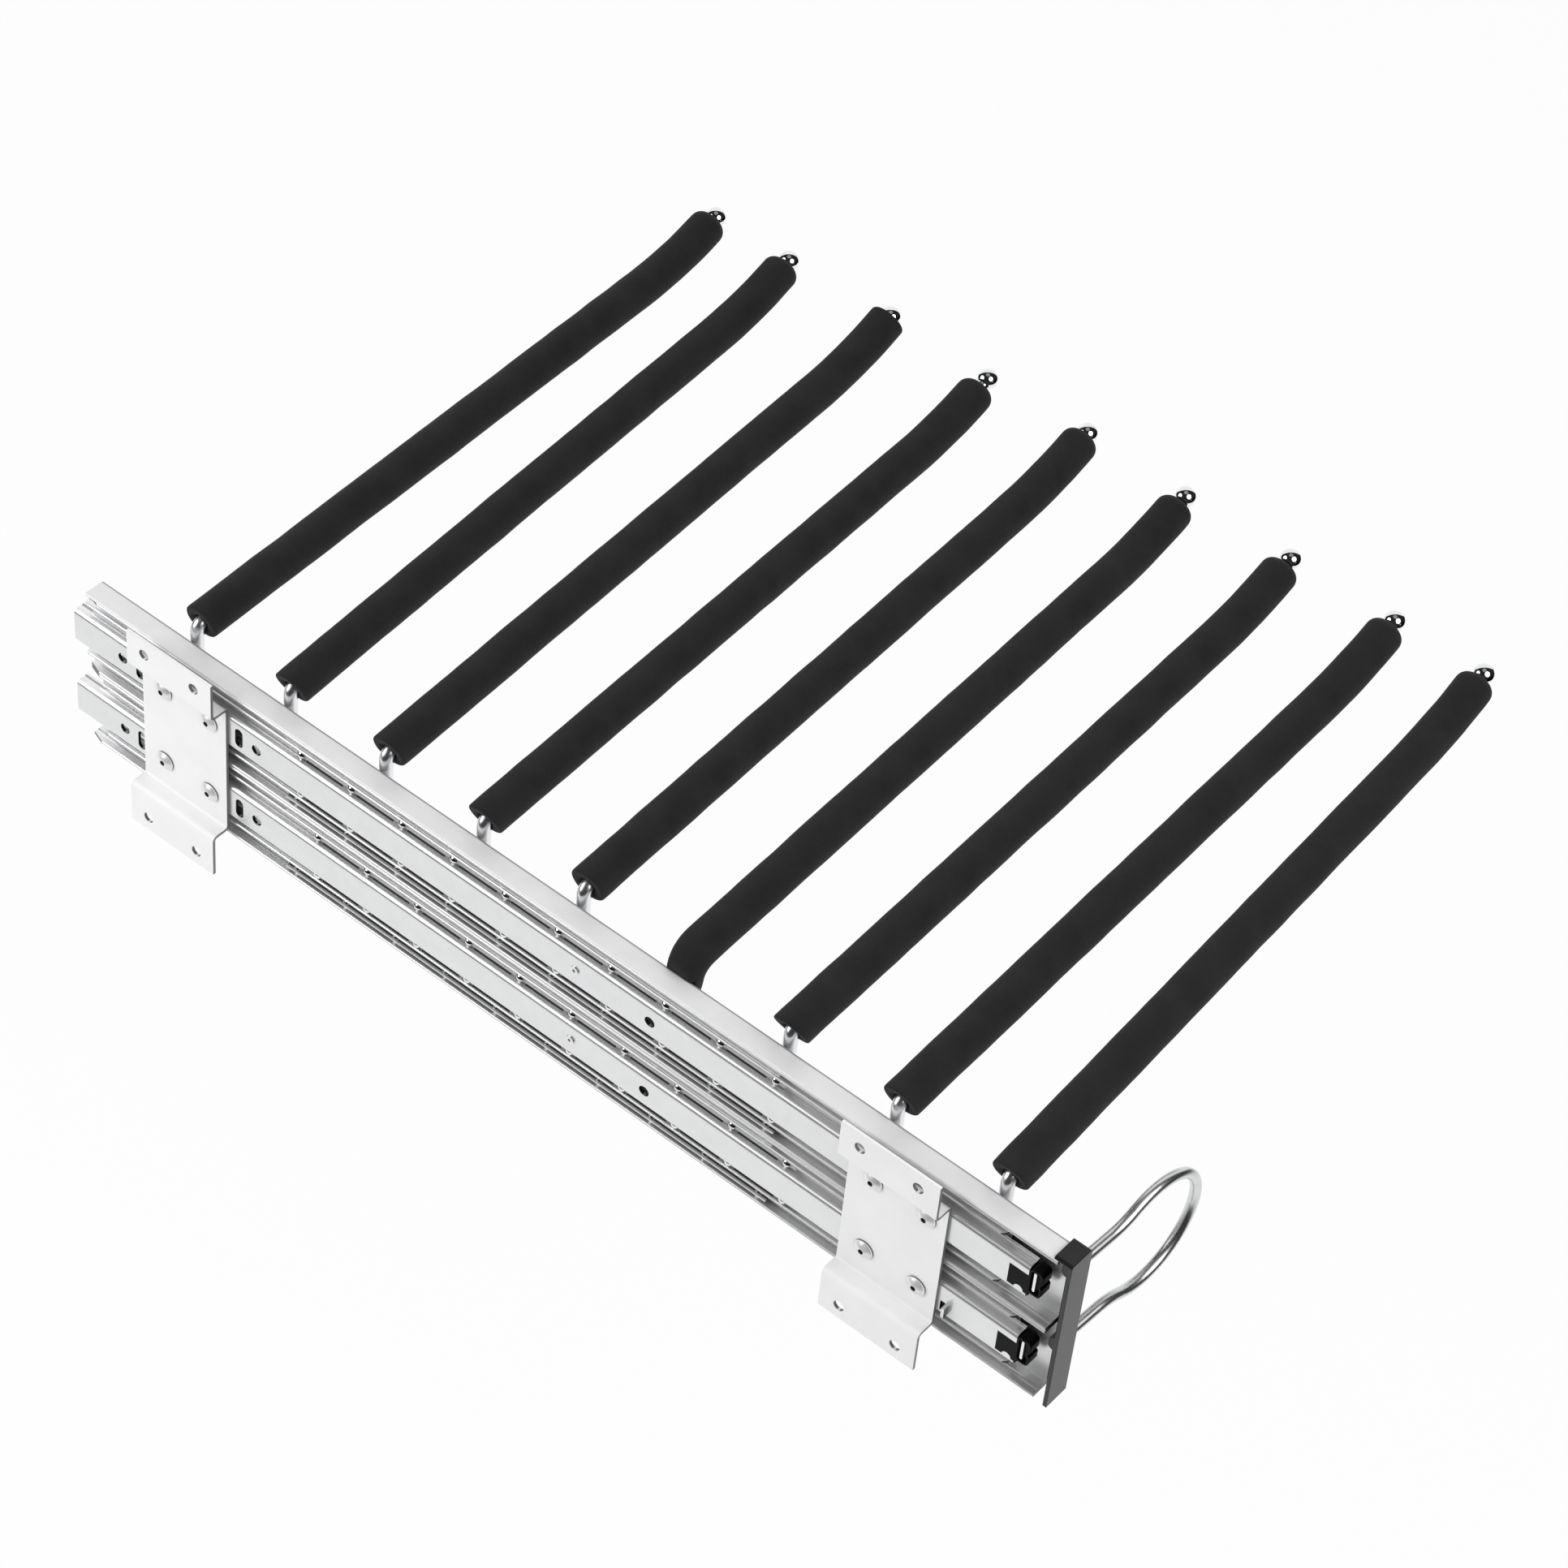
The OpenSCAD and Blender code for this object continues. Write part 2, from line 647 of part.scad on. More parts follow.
module inner_cage(z, start) {
    first = rail_start + start;
    low = first - cage_margin;
    length = cage_span + 2 * cage_margin;
    half = inner_ball_w + cage_sheet / 2;
    lip_inset = pocket_radius + cage_lip_gap;
    color([0.75, 0.76, 0.78]) at_slide(z) {
        translate([low, cage_web_depth, -half]) cube([length, cage_sheet, 2 * half]);
        for (side = [0, 1]) mirror([0, 0, side])
            translate([0, 0, inner_ball_w - cage_sheet / 2]) linear_extrude(cage_sheet) {
                difference() {
                    translate([low, cage_mouth_depth])
                        square([length, cage_web_depth - cage_mouth_depth]);
                    for (k = [0 : cage_balls - 1])
                        translate([first + k * cage_pitch, inner_ball_depth])
                            circle(pocket_radius);
                }
                for (k = [0 : cage_balls - 2])
                    translate([first + k * cage_pitch + lip_inset, cage_lip_depth])
                        square([cage_pitch - 2 * lip_inset, cage_mouth_depth - cage_lip_depth]);
            }
    }
}

module outer_strip(z, side) {
    first = rail_start + outer_cage_start;
    reach = pocket_radius + strip_border;
    color([0.75, 0.76, 0.78]) at_slide(z)
        translate([0, 0, side * outer_ball_w - cage_sheet / 2]) linear_extrude(cage_sheet)
            difference() {
                translate([first - cage_margin, outer_ball_depth - reach])
                    square([cage_span + 2 * cage_margin, 2 * reach]);
                for (k = [0 : cage_balls - 1])
                    translate([first + k * cage_pitch, outer_ball_depth])
                        circle(pocket_radius);
            }
}

// Middle and outer rails

// A channel open towards the cabinet side, with rounded lip fronts.
module facing_channel(lip, back, half, radius) {
    round_r = rail_sheet / 2;
    translate([back, 0]) mirror([1, 0]) channel(back - lip - round_r, half, rail_sheet, radius);
    for (side = [-1, 1]) translate([lip + round_r, side * (half - round_r)]) circle(round_r);
}

module middle_section() {
    difference() {
        facing_channel(middle_lip_depth, middle_back, middle_half, middle_bend);
        race_pair(inner_ball_depth, inner_ball_w, race_radius);
        race_pair(outer_ball_depth, outer_ball_w, race_radius);
    }
}

// The piece of a square corner outside its rounding, drawn in X and depth.
module corner_waste(radius) {
    difference() {
        translate([0, -overrun]) square([radius + overrun, radius + overrun]);
        translate([0, radius]) circle(radius);
    }
}

module middle_rail(z, setback) {
    low = rail_start + setback;
    high = low + middle_length;
    color([0.84, 0.85, 0.87]) at_slide(z) difference() {
        along_x(low, middle_length) middle_section();
        translate([0, middle_lip_depth, -middle_half - overrun])
            linear_extrude(2 * (middle_half + overrun)) {
                translate([high - lip_corner, 0]) corner_waste(lip_corner);
                translate([low + lip_corner, 0]) mirror([1, 0]) corner_waste(lip_corner);
            }
    }
}

module outer_section() {
    difference() {
        facing_channel(outer_lip_depth, outer_back, outer_half, outer_bend);
        race_pair(outer_ball_depth, outer_ball_w, race_radius);
    }
}

module outer_rail(z) {
    color([0.84, 0.85, 0.87]) difference() {
        at_slide(z) difference() {
            along_x(carriage_start, carriage_length) outer_section();
            translate([0, outer_lip_depth, -outer_half - overrun])
                linear_extrude(2 * (outer_half + overrun))
                    polygon([[carriage_start - overrun, lip_cut_depth],
                        [carriage_start, lip_cut_depth],
                        [carriage_start + lip_cut_length, 0],
                        [carriage_start + lip_cut_length, -overrun],
                        [carriage_start - overrun, -overrun]]);
        }
        back_rivet_spots()
            translate([0, 0, -rail_sheet - overrun])
                cylinder(h = rail_sheet + 2 * overrun, d = back_rivet_shank);
    }
}

// Carriage

// Rivet places on the back plate's front face, with Z turned to point away from the cabinet side.
module back_rivet_spots() {
    for (k = [0 : back_rivets - 1])
        for (z = [lower_z, upper_z]) {
            bay = 1 + k * back_rivet_step;
            translate([(arm_x(bay) + arm_x(bay + 1)) / 2, plate_front_y, z])
                rotate([-90, 0, 0]) children();
        }
}

module profile_outline() {
    height = profile_top - plate_bottom;
    edge = profile_sheet / 2;
    inner = profile_bend - profile_sheet;
    // back plate
    translate([plate_front_y, plate_bottom]) square([profile_sheet, height - profile_bend]);
    // bend
    translate([plate_back_y - profile_bend, profile_top - profile_bend]) intersection() {
        difference() {
            circle(profile_bend);
            circle(inner);
        }
        square(profile_bend);
    }
    // top flange with its rounded near edge
    translate([profile_front_y + edge, profile_top - profile_sheet])
        square([plate_back_y - profile_bend - profile_front_y - edge, profile_sheet]);
    translate([profile_front_y + edge, profile_top - edge]) circle(edge);
}

module carriage_profile() {
    color([0.88, 0.88, 0.89]) difference() {
        along_x(carriage_start, carriage_length) profile_outline();
        back_rivet_spots()
            translate([0, 0, -overrun])
                cylinder(h = profile_sheet + 2 * overrun, d = back_rivet_shank);
    }
}

module back_rivets() {
    radius = back_rivet_head / 2;
    rise = back_rivet_height;
    dome = (radius * radius + rise * rise) / (2 * rise);
    color([0.8, 0.8, 0.82]) back_rivet_spots() {
        translate([0, 0, -rail_sheet])
            cylinder(h = rail_sheet + profile_sheet, d = back_rivet_shank);
        translate([0, 0, profile_sheet]) intersection() {
            translate([0, 0, rise - dome]) sphere(dome);
            cylinder(h = rise, r = radius);
        }
    }
}

// End cap and handle

module cap_outline(inset) {
    near = cap_near_y + inset;
    far = cap_far_y - inset;
    top = cap_top - inset;
    radius = cap_corner;
    translate([near, plate_bottom]) square([far - near, top - plate_bottom - radius]);
    translate([near + radius, plate_bottom])
        square([far - near - 2 * radius, top - plate_bottom]);
    for (y = [near + radius, far - radius])
        translate([y, top - radius]) circle(radius);
}

module end_cap() {
    hood_start = carriage_end - hood_overlap;
    color([0.13, 0.13, 0.14]) difference() {
        union() {
            along_x(cap_inside, cap_plate) cap_outline(0);
            // hood and wall round the carriage profile's end
            difference() {
                along_x(hood_start, cap_inside - hood_start) cap_outline(0);
                translate([hood_start - overrun, cap_near_y - overrun, plate_bottom - overrun])
                    cube([cap_inside - hood_start + overrun,
                        plate_back_y - cap_near_y + overrun,
                        profile_top - plate_bottom + overrun]);
            }
            for (side = [-1, 1])
                handle_place() translate([0, 0, side * handle_neck]) intersection() {
                    rotate([-90, 0, 0]) translate([0, 0, -socket_depth])
                        cylinder(h = socket_depth + cap_back_wall, r = socket_radius);
                    translate([-socket_radius, -socket_depth, -socket_radius])
                        cube([2 * socket_radius, 2 * socket_depth, 2 * socket_radius]);
                }
        }
        handle_wire_path();
        // room for the ends of the carriage profile and of the outer rails beside the sockets
        translate([hood_start - overrun, cap_near_y - overrun, plate_bottom - overrun])
            cube([carriage_end + socket_gap - hood_start + overrun,
                plate_back_y - cap_near_y + overrun,
                profile_top - plate_bottom + overrun]);
        // nothing of the sockets stands in front of the front plate
        translate([cap_front, 0, plate_bottom - overrun])
            cube([overrun, cap_far_y + overrun, cap_top - plate_bottom + 2 * overrun]);
    }
}

module handle_place() {
    translate([handle_x, plate_back_y, handle_z]) children();
}

// One turn of wire: centre of the turn at the origin, in the Y-Z plane, from angle a on.
module wire_turn(radius, from, sweep) {
    rotate([90, 0, 90]) rotate_extrude(start = from, angle = sweep)
        translate([radius, 0]) circle(d = handle_wire);
}

module handle_wire_path() {
    turn_start = cap_back_wall + handle_straight;
    handle_place() rotate([0, 0, -handle_lean]) for (side = [0, 1]) mirror([0, 0, side]) {
        translate([0, -socket_depth + cap_back_wall, handle_neck]) rotate([-90, 0, 0])
            cylinder(h = socket_depth + handle_straight, d = handle_wire);
        translate([0, turn_start, handle_neck + handle_turn_radius])
            wire_turn(handle_turn_radius, -90, handle_turn);
        translate([0, turn_start + handle_curve, handle_half - handle_turn_radius])
            wire_turn(handle_turn_radius, 90, handle_turn);
        translate([0, turn_start + handle_curve, 0]) wire_turn(handle_half, 0, 90);
        translate([0, turn_start + handle_curve / 2, (handle_neck + handle_half) / 2])
            sphere(d = handle_wire + wire_swell);
    }
}

module pull_handle() {
    color([0.85, 0.85, 0.87]) handle_wire_path();
}

// Arms

function arm_x(i) = carriage_start + arm_rear_margin + (i - 1) * arm_pitch;

function straight_length(i) = arm_straight + arm_extras[i - 1];

module at_arm(i) {
    translate([arm_x(i), leg_y, 0]) rotate([0, 0, arm_yaws[i - 1]]) children();
}

// Moves to the end of the foot bend, with Z along the arm's straight part.
module at_straight() {
    translate([0, rod_bend - rod_bend * sin(arm_slope), foot_z + rod_bend * cos(arm_slope)])
        rotate([arm_slope - 90, 0, 0]) children();
}

// An arc of the tip's curve in the arm's own plane, holding an outline at its radius.
module tip_arc(i, sweep) {
    at_straight() translate([0, -tip_radius, straight_length(i)]) rotate([90, 0, 90])
        rotate_extrude(angle = sweep) translate([tip_radius, 0]) children();
}

module at_tip(i) {
    at_straight() translate([0, -tip_radius, straight_length(i)]) rotate([tip_angle, 0, 0])
        translate([0, tip_radius, 0]) children();
}

// The rod: leg, foot bend, straight part and tip curve, with the ball at its end.
module arm_rod(i) {
    radius = rod_diameter / 2;
    color([0.85, 0.85, 0.87]) at_arm(i) {
        translate([0, 0, foot_z - leg_length]) cylinder(h = leg_length, r = radius);
        translate([0, rod_bend, foot_z]) rotate([90, 0, -90])
            rotate_extrude(angle = rod_turn) translate([rod_bend, 0]) circle(radius);
        at_straight() sphere(radius + rod_swell);
        at_straight() cylinder(h = straight_length(i), r = radius);
        tip_arc(i, tip_angle) circle(radius);
        at_tip(i) sphere(d = tip_ball);
    }
}

module weld_beads() {
    rod_r = rod_diameter / 2;
    color([0.6, 0.6, 0.62]) for (i = [1 : arm_count])
        for (low = [foot_z - leg_length + rod_r, profile_top - profile_bend - rod_r - bead_length])
            translate([arm_x(i), leg_y, low]) for (side = [-1, 1]) difference() {
                intersection() {
                    translate([side * (rod_r - bead_radius / 2), -rod_r, 0])
                        cylinder(h = bead_length, r = bead_radius);
                    translate([-2 * rod_r, -rod_r, 0])
                        cube([4 * rod_r, rod_r, bead_length]);
                }
                translate([0, 0, -overrun]) cylinder(h = bead_length + 2 * overrun, r = rod_r);
            }
}

// Foam sleeves

// A tube along the arm: straight from the start to the curve, then round the given angle.
module sleeve_tube(i, start) {
    length = straight_length(i) - start;
    at_straight() translate([0, 0, start]) difference() {
        cylinder(h = length, r = sleeve_radius);
        translate([0, 0, -overrun]) cylinder(h = length + overrun, r = bore_radius);
    }
    tip_arc(i, sleeve_sweeps[i - 1]) difference() {
        circle(sleeve_radius);
        circle(bore_radius);
    }
}

// Room for the arm's ball in the sleeve's end.
module ball_room(i) {
    at_tip(i) sphere(d = tip_ball + 2 * sleeve_gap);
}

// Room for the rod's leg and bend in the sleeve's underside.
module leg_room() {
    translate([0, 0, foot_z - sleeve_diameter])
        cylinder(h = sleeve_diameter + rod_bend, r = bore_radius + sleeve_gap);
}

// Everything below the carriage profile's top, with a gap over it, as far back as its edge.
module profile_room(i) {
    translate([arm_x(i) - sleeve_diameter, 0, profile_top + slid_sleeve_gap - sleeve_diameter])
        cube([2 * sleeve_diameter, plate_back_y + slid_sleeve_gap, sleeve_diameter]);
}

module foam_sleeve(i) {
    color([0.12, 0.12, 0.13]) difference() {
        at_arm(i) sleeve_tube(i, sleeve_starts[i - 1] - rod_bend);
        at_arm(i) leg_room();
        at_arm(i) ball_room(i);
        profile_room(i);
    }
}

// The sixth sleeve has slid over its bend: its foot turns down behind the carriage profile.
module slid_sleeve() {
    elbow_radius = sleeve_radius + elbow_swell;
    color([0.12, 0.12, 0.13]) difference() {
        union() {
            at_arm(6) sleeve_tube(6, -rod_bend);
            at_arm(6) difference() {
                translate([0, 0, foot_z + rod_bend]) union() {
                    sphere(elbow_radius);
                    translate([0, 0, -rod_bend - slid_sleeve_drop])
                        cylinder(h = rod_bend + slid_sleeve_drop, r = sleeve_radius);
                }
                at_straight() translate([0, 0, -rod_bend])
                    cylinder(h = sleeve_diameter, r = bore_radius);
            }
        }
        at_arm(6) leg_room();
        at_arm(6) ball_room(6);
        profile_room(6);
    }
}

module rear_mounting_bracket() {
    color([0.93, 0.93, 0.93]) bracket(0);
}

module front_mounting_bracket() {
    color([0.93, 0.93, 0.93]) bracket(bracket_pitch);
}

rear_mounting_bracket();
front_mounting_bracket();
bracket_rivets(0);  // rear_bracket_rivets
bracket_rivets(bracket_pitch);  // front_bracket_rivets
upper_fixed_rail();
lower_fixed_rail();
stop_rivets();
latch_lever(upper_z);  // upper_latch_lever
latch_lever(lower_z);  // lower_latch_lever
latch_spring(upper_z);  // upper_latch_spring
latch_spring(lower_z);  // lower_latch_spring
inner_cage(upper_z, upper_cage_start);  // upper_inner_cage
inner_cage(lower_z, lower_cage_start);  // lower_inner_cage
balls(upper_z, upper_cage_start, inner_ball_depth, inner_ball_w);  // upper_inner_balls
balls(lower_z, lower_cage_start, inner_ball_depth, inner_ball_w);  // lower_inner_balls
middle_rail(upper_z, upper_setback);  // upper_middle_rail
middle_rail(lower_z, lower_setback);  // lower_middle_rail
outer_strip(upper_z, 1);  // upper_outer_cage_top
outer_strip(upper_z, -1);  // upper_outer_cage_bottom
outer_strip(lower_z, 1);  // lower_outer_cage_top
outer_strip(lower_z, -1);  // lower_outer_cage_bottom
balls(upper_z, outer_cage_start, outer_ball_depth, outer_ball_w);  // upper_outer_balls
balls(lower_z, outer_cage_start, outer_ball_depth, outer_ball_w);  // lower_outer_balls
outer_rail(upper_z);  // upper_outer_rail
outer_rail(lower_z);  // lower_outer_rail
carriage_profile();
back_rivets();
end_cap();
pull_handle();
weld_beads();
arm_rod(1);  // arm_rod_1
arm_rod(2);  // arm_rod_2
arm_rod(3);  // arm_rod_3
arm_rod(4);  // arm_rod_4
arm_rod(5);  // arm_rod_5
arm_rod(6);  // arm_rod_6
arm_rod(7);  // arm_rod_7
arm_rod(8);  // arm_rod_8
arm_rod(9);  // arm_rod_9
foam_sleeve(1);  // foam_sleeve_1
foam_sleeve(2);  // foam_sleeve_2
foam_sleeve(3);  // foam_sleeve_3
foam_sleeve(4);  // foam_sleeve_4
foam_sleeve(5);  // foam_sleeve_5
slid_sleeve();  // foam_sleeve_6
foam_sleeve(7);  // foam_sleeve_7
foam_sleeve(8);  // foam_sleeve_8
foam_sleeve(9);  // foam_sleeve_9
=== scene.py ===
import bpy, bmesh, math
from mathutils import Matrix, Vector


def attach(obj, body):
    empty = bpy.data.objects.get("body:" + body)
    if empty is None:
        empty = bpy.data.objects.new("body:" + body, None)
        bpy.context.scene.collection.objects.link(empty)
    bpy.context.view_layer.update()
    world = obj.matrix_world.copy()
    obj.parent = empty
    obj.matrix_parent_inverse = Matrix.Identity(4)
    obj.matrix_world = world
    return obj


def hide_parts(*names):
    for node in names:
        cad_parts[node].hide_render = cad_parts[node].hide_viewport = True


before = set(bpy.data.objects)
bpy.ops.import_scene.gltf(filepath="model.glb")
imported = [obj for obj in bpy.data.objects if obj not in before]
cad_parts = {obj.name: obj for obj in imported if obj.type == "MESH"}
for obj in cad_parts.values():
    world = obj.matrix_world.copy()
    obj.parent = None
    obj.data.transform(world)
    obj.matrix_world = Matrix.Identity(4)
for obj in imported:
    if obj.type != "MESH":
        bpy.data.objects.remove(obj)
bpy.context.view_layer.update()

mm = 0.001


# small helpers for working in object and edit mode

def deselectAll():
    bpy.ops.object.select_all(action="DESELECT")


def makeActive(piece):
    deselectAll()
    piece.select_set(True)
    bpy.context.view_layer.objects.active = piece


def openMesh(piece, mode):
    makeActive(piece)
    bpy.ops.object.mode_set(mode="EDIT")
    bpy.ops.mesh.select_mode(type=mode)
    bpy.ops.mesh.select_all(action="DESELECT")
    return bmesh.from_edit_mesh(piece.data)


def closeMesh():
    bpy.ops.object.mode_set(mode="OBJECT")


def pickFaces(piece, test):
    mesh = openMesh(piece, "FACE")
    for face in mesh.faces:
        if test(face):
            face.select_set(True)
    bmesh.update_edit_mesh(piece.data)


def pickEdges(piece, test):
    mesh = openMesh(piece, "EDGE")
    for edge in mesh.edges:
        a, b = edge.verts[0].co, edge.verts[1].co
        if test(a, b):
            edge.select_set(True)
    bmesh.update_edit_mesh(piece.data)


def applyModifier(piece, name):
    makeActive(piece)
    bpy.ops.object.modifier_apply(modifier=name)


def applyPlace(piece):
    makeActive(piece)
    bpy.ops.object.transform_apply(location=True, rotation=True, scale=True)


def turnOutwards(piece):
    makeActive(piece)
    bpy.ops.object.mode_set(mode="EDIT")
    bpy.ops.mesh.select_all(action="SELECT")
    bpy.ops.mesh.normals_make_consistent(inside=False)
    closeMesh()


def moveMesh(piece, distance):
    for vertex in piece.data.vertices:
        vertex.co.z += distance
    piece.data.update()


def bendAlongZ(piece, low, high, angle):
    heights = [vertex.co.z for vertex in piece.data.vertices]
    bottom, reach = min(heights), max(heights) - min(heights)
    bend = piece.modifiers.new("bend", "SIMPLE_DEFORM")
    bend.deform_method = "BEND"
    bend.deform_axis = "X"
    bend.angle = angle
    bend.limits = ((low - bottom) / reach, min(1, (high - bottom) / reach))
    applyModifier(piece, bend.name)


def cutAway(piece, cutter):
    cut = piece.modifiers.new("cut", "BOOLEAN")
    cut.operation = "DIFFERENCE"
    cut.solver = "EXACT"
    cut.object = cutter
    applyModifier(piece, cut.name)
    bpy.data.objects.remove(cutter)


# small helpers for any node tree

def plainMath(tree, operation, first, second=None):
    node = tree.nodes.new("ShaderNodeMath")
    node.operation = operation
    tree.links.new(first, node.inputs[0])
    if isinstance(second, (int, float)):
        node.inputs[1].default_value = second
    elif second is not None:
        tree.links.new(second, node.inputs[1])
    return node.outputs[0]


def vectorMath(tree, operation, source, other=None, output="Vector"):
    node = tree.nodes.new("ShaderNodeVectorMath")
    node.operation = operation
    tree.links.new(source, node.inputs[0])
    if other is not None:
        node.inputs[1].default_value = other
    return node.outputs[output]


def mapRange(tree, value, start, end, atStart=0, atEnd=1):
    node = tree.nodes.new("ShaderNodeMapRange")
    for name, number in zip(("From Min", "From Max", "To Min", "To Max"),
                            (start, end, atStart, atEnd)):
        node.inputs[name].default_value = number
    tree.links.new(value, node.inputs["Value"])
    return node.outputs["Result"]


def coordinates(tree, kind):
    return tree.nodes.new("ShaderNodeTexCoord").outputs[kind]


# small helpers for the materials of the pieces

def newMaterial(name, **sockets):
    material = bpy.data.materials.new(name)
    material.use_nodes = True
    shader = material.node_tree.nodes["Principled BSDF"]
    for socket, value in sockets.items():
        shader.inputs[socket.replace("_", " ")].default_value = value
    return material


def wire(material, source, socket):
    shader = material.node_tree.nodes["Principled BSDF"]
    material.node_tree.links.new(source, shader.inputs[socket])


def objectNoise(material, scale, detail=4, stretch=(1, 1, 1), roughness=0.5):
    tree = material.node_tree
    mapping = tree.nodes.new("ShaderNodeMapping")
    mapping.inputs["Scale"].default_value = stretch
    noise = tree.nodes.new("ShaderNodeTexNoise")
    noise.inputs["Scale"].default_value = scale
    noise.inputs["Detail"].default_value = detail
    noise.inputs["Roughness"].default_value = roughness
    tree.links.new(coordinates(tree, "Object"), mapping.inputs["Vector"])
    tree.links.new(mapping.outputs["Vector"], noise.inputs["Vector"])
    return noise.outputs["Fac"]


def cells(material, scale):
    tree = material.node_tree
    voronoi = tree.nodes.new("ShaderNodeTexVoronoi")
    voronoi.inputs["Scale"].default_value = scale
    tree.links.new(coordinates(tree, "Object"), voronoi.inputs["Vector"])
    return voronoi.outputs["Distance"]


def ramp(material, source, stops):
    tree = material.node_tree
    node = tree.nodes.new("ShaderNodeValToRGB")
    elements = node.color_ramp.elements
    while len(elements) < len(stops):
        elements.new(0.5)
    for element, (place, colour) in zip(elements, stops):
        element.position = place
        element.color = (*colour, 1) if isinstance(colour, tuple) else (colour, colour, colour, 1)
    tree.links.new(source, node.inputs["Fac"])
    return node.outputs["Color"]


def mottled(material, noise, ends, span=(0.3, 0.7)):
    # runs from the first end to the second while the noise crosses the span
    return ramp(material, noise, list(zip(span, ends)))


def facing(material, axis, bothWays=True):
    # 1 where the surface looks along the axis, and 0 where it stands across it
    tree = material.node_tree
    share = vectorMath(tree, "DOT_PRODUCT", coordinates(tree, "Normal"), axis, "Value")
    return plainMath(tree, "ABSOLUTE", share) if bothWays else share


def along(material, axis, start, end, atStart=0, atEnd=1):
    # runs from one value to the other between two places on an axis of the object
    tree = material.node_tree
    parts = tree.nodes.new("ShaderNodeSeparateXYZ")
    tree.links.new(coordinates(tree, "Object"), parts.inputs[0])
    return mapRange(tree, parts.outputs[axis], start, end, atStart, atEnd)


def tintWhere(material, mask, colour):
    tree = material.node_tree
    base = tree.nodes["Principled BSDF"].inputs["Base Color"]
    mix = tree.nodes.new("ShaderNodeMix")
    mix.data_type = "RGBA"
    factor, plain, tinted = mix.inputs[0], mix.inputs[6], mix.inputs[7]
    tree.links.new(mask, factor)
    tree.links.new(base.links[0].from_socket, plain)
    tinted.default_value = (*colour, 1)
    tree.links.new(mix.outputs[2], base)


cutAndHoleStops = [(0.12, 0), (0.3, 1)]    # how far a face turns to X before it counts as a cut


def darkenCuts(material, colour):
    # the cut edges, dark as bare steel, and painted shade on the walls of the holes, on a sheet
    # that is rolled or bent along X
    tintWhere(material, ramp(material, facing(material, (1, 0, 0)), cutAndHoleStops), colour)


def roughen(material, height, depth):
    tree = material.node_tree
    bump = tree.nodes.new("ShaderNodeBump")
    bump.inputs["Strength"].default_value = 1
    bump.inputs["Distance"].default_value = depth
    shader = tree.nodes["Principled BSDF"]
    earlier = shader.inputs["Normal"].links
    if earlier:
        tree.links.new(earlier[0].from_socket, bump.inputs["Normal"])
    tree.links.new(height, bump.inputs["Height"])
    tree.links.new(bump.outputs["Normal"], shader.inputs["Normal"])


def softenEdges(material, radius):
    # the light catches the edges as if they were rounded
    edge = material.node_tree.nodes.new("ShaderNodeBevel")
    edge.samples = 6
    edge.inputs["Radius"].default_value = radius
    wire(material, edge.outputs["Normal"], "Normal")


def dress(material, *nodes):
    for name in nodes:
        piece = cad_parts[name]
        if not piece.material_slots:
            piece.data.materials.append(material)
        for holder in piece.material_slots:
            holder.material = material


# camera, floor and light

view = {
    "place": (0.8377, -0.8087, 1.1954),
    "right": (0.7658, 0.6387, 0.0752),
    "down": (0.5006, -0.5186, -0.6931),
    "forward": (-0.4037, 0.5684, -0.7169),
    "lens": 108.5,
    "sensor": 36,
    "nearest": 0.05,
}


def makeCamera():
    camera = bpy.data.objects.new("camera", bpy.data.cameras.new("camera"))
    bpy.context.collection.objects.link(camera)
    camera.data.lens = view["lens"]
    camera.data.sensor_width = view["sensor"]
    camera.data.clip_start = view["nearest"]
    axes = Matrix((view["right"], [-v for v in view["down"]],
                   [-v for v in view["forward"]])).transposed()
    camera.matrix_world = Matrix.Translation(view["place"]) @ axes.to_4x4()
    bpy.context.scene.camera = camera


studio = {
    "floorHeight": -0.36,
    "floorSize": 9,
    "floorColour": 0.9,
    "floorGlow": 0.92,      # how far the floor is plain white where it is seen
    "skyLevel": 0.6,
    "middle": (0.15, 0.1, 0),
    # what bare metal mirrors: the white table with the paper rising behind it, and
    # round them a dark room with a grey ceiling
    "tableMiddle": (-0.07, 0.28, 0),
    "tableRadius": 0.98,
    "paperMiddle": (-0.625, 0.761, 0.174),
    "paperEdge": 0.643,     # cosine of the angle that the paper reaches round its middle
    "edgeSoftness": 0.03,
    "room": 0.02,
    "ceiling": 0.3,
    "ceilingEdge": (0.92, 0.96),    # cosines between which the ceiling begins
    "lampDistance": 1.3,
    "lampSize": 1.1,
    "lampWatts": 7.7,
    # from the object: one soft lamp at its left front, one at its right
    "lampDirections": [(-0.61, -0.65, 0.45), (0.79, 0.02, 0.61)],
}


def seenDirectly(tree):
    path = tree.nodes.new("ShaderNodeLightPath")
    return plainMath(tree, "MAXIMUM", path.outputs["Is Camera Ray"],
                     path.outputs["Is Transmission Ray"])


def seenInMetal(tree):
    return tree.nodes.new("ShaderNodeLightPath").outputs["Is Glossy Ray"]


def choose(tree, share, off, on):
    mix = tree.nodes.new("ShaderNodeMixShader")
    for source, socket in zip((share, off, on), mix.inputs):
        tree.links.new(source, socket)
    return mix.outputs[0]


def worldLight(tree, level):
    light = tree.nodes.new("ShaderNodeBackground")
    light.inputs["Color"].default_value = (1, 1, 1, 1)
    light.inputs["Strength"].default_value = level
    return light


def softStep(tree, value, edge, rising=True):
    soft = studio["edgeSoftness"]
    return mapRange(tree, value, edge - soft, edge + soft, *((0, 1) if rising else (1, 0)))


def paperShare(tree, direction):
    towards = vectorMath(tree, "DOT_PRODUCT", direction, studio["paperMiddle"], "Value")
    return softStep(tree, towards, studio["paperEdge"])


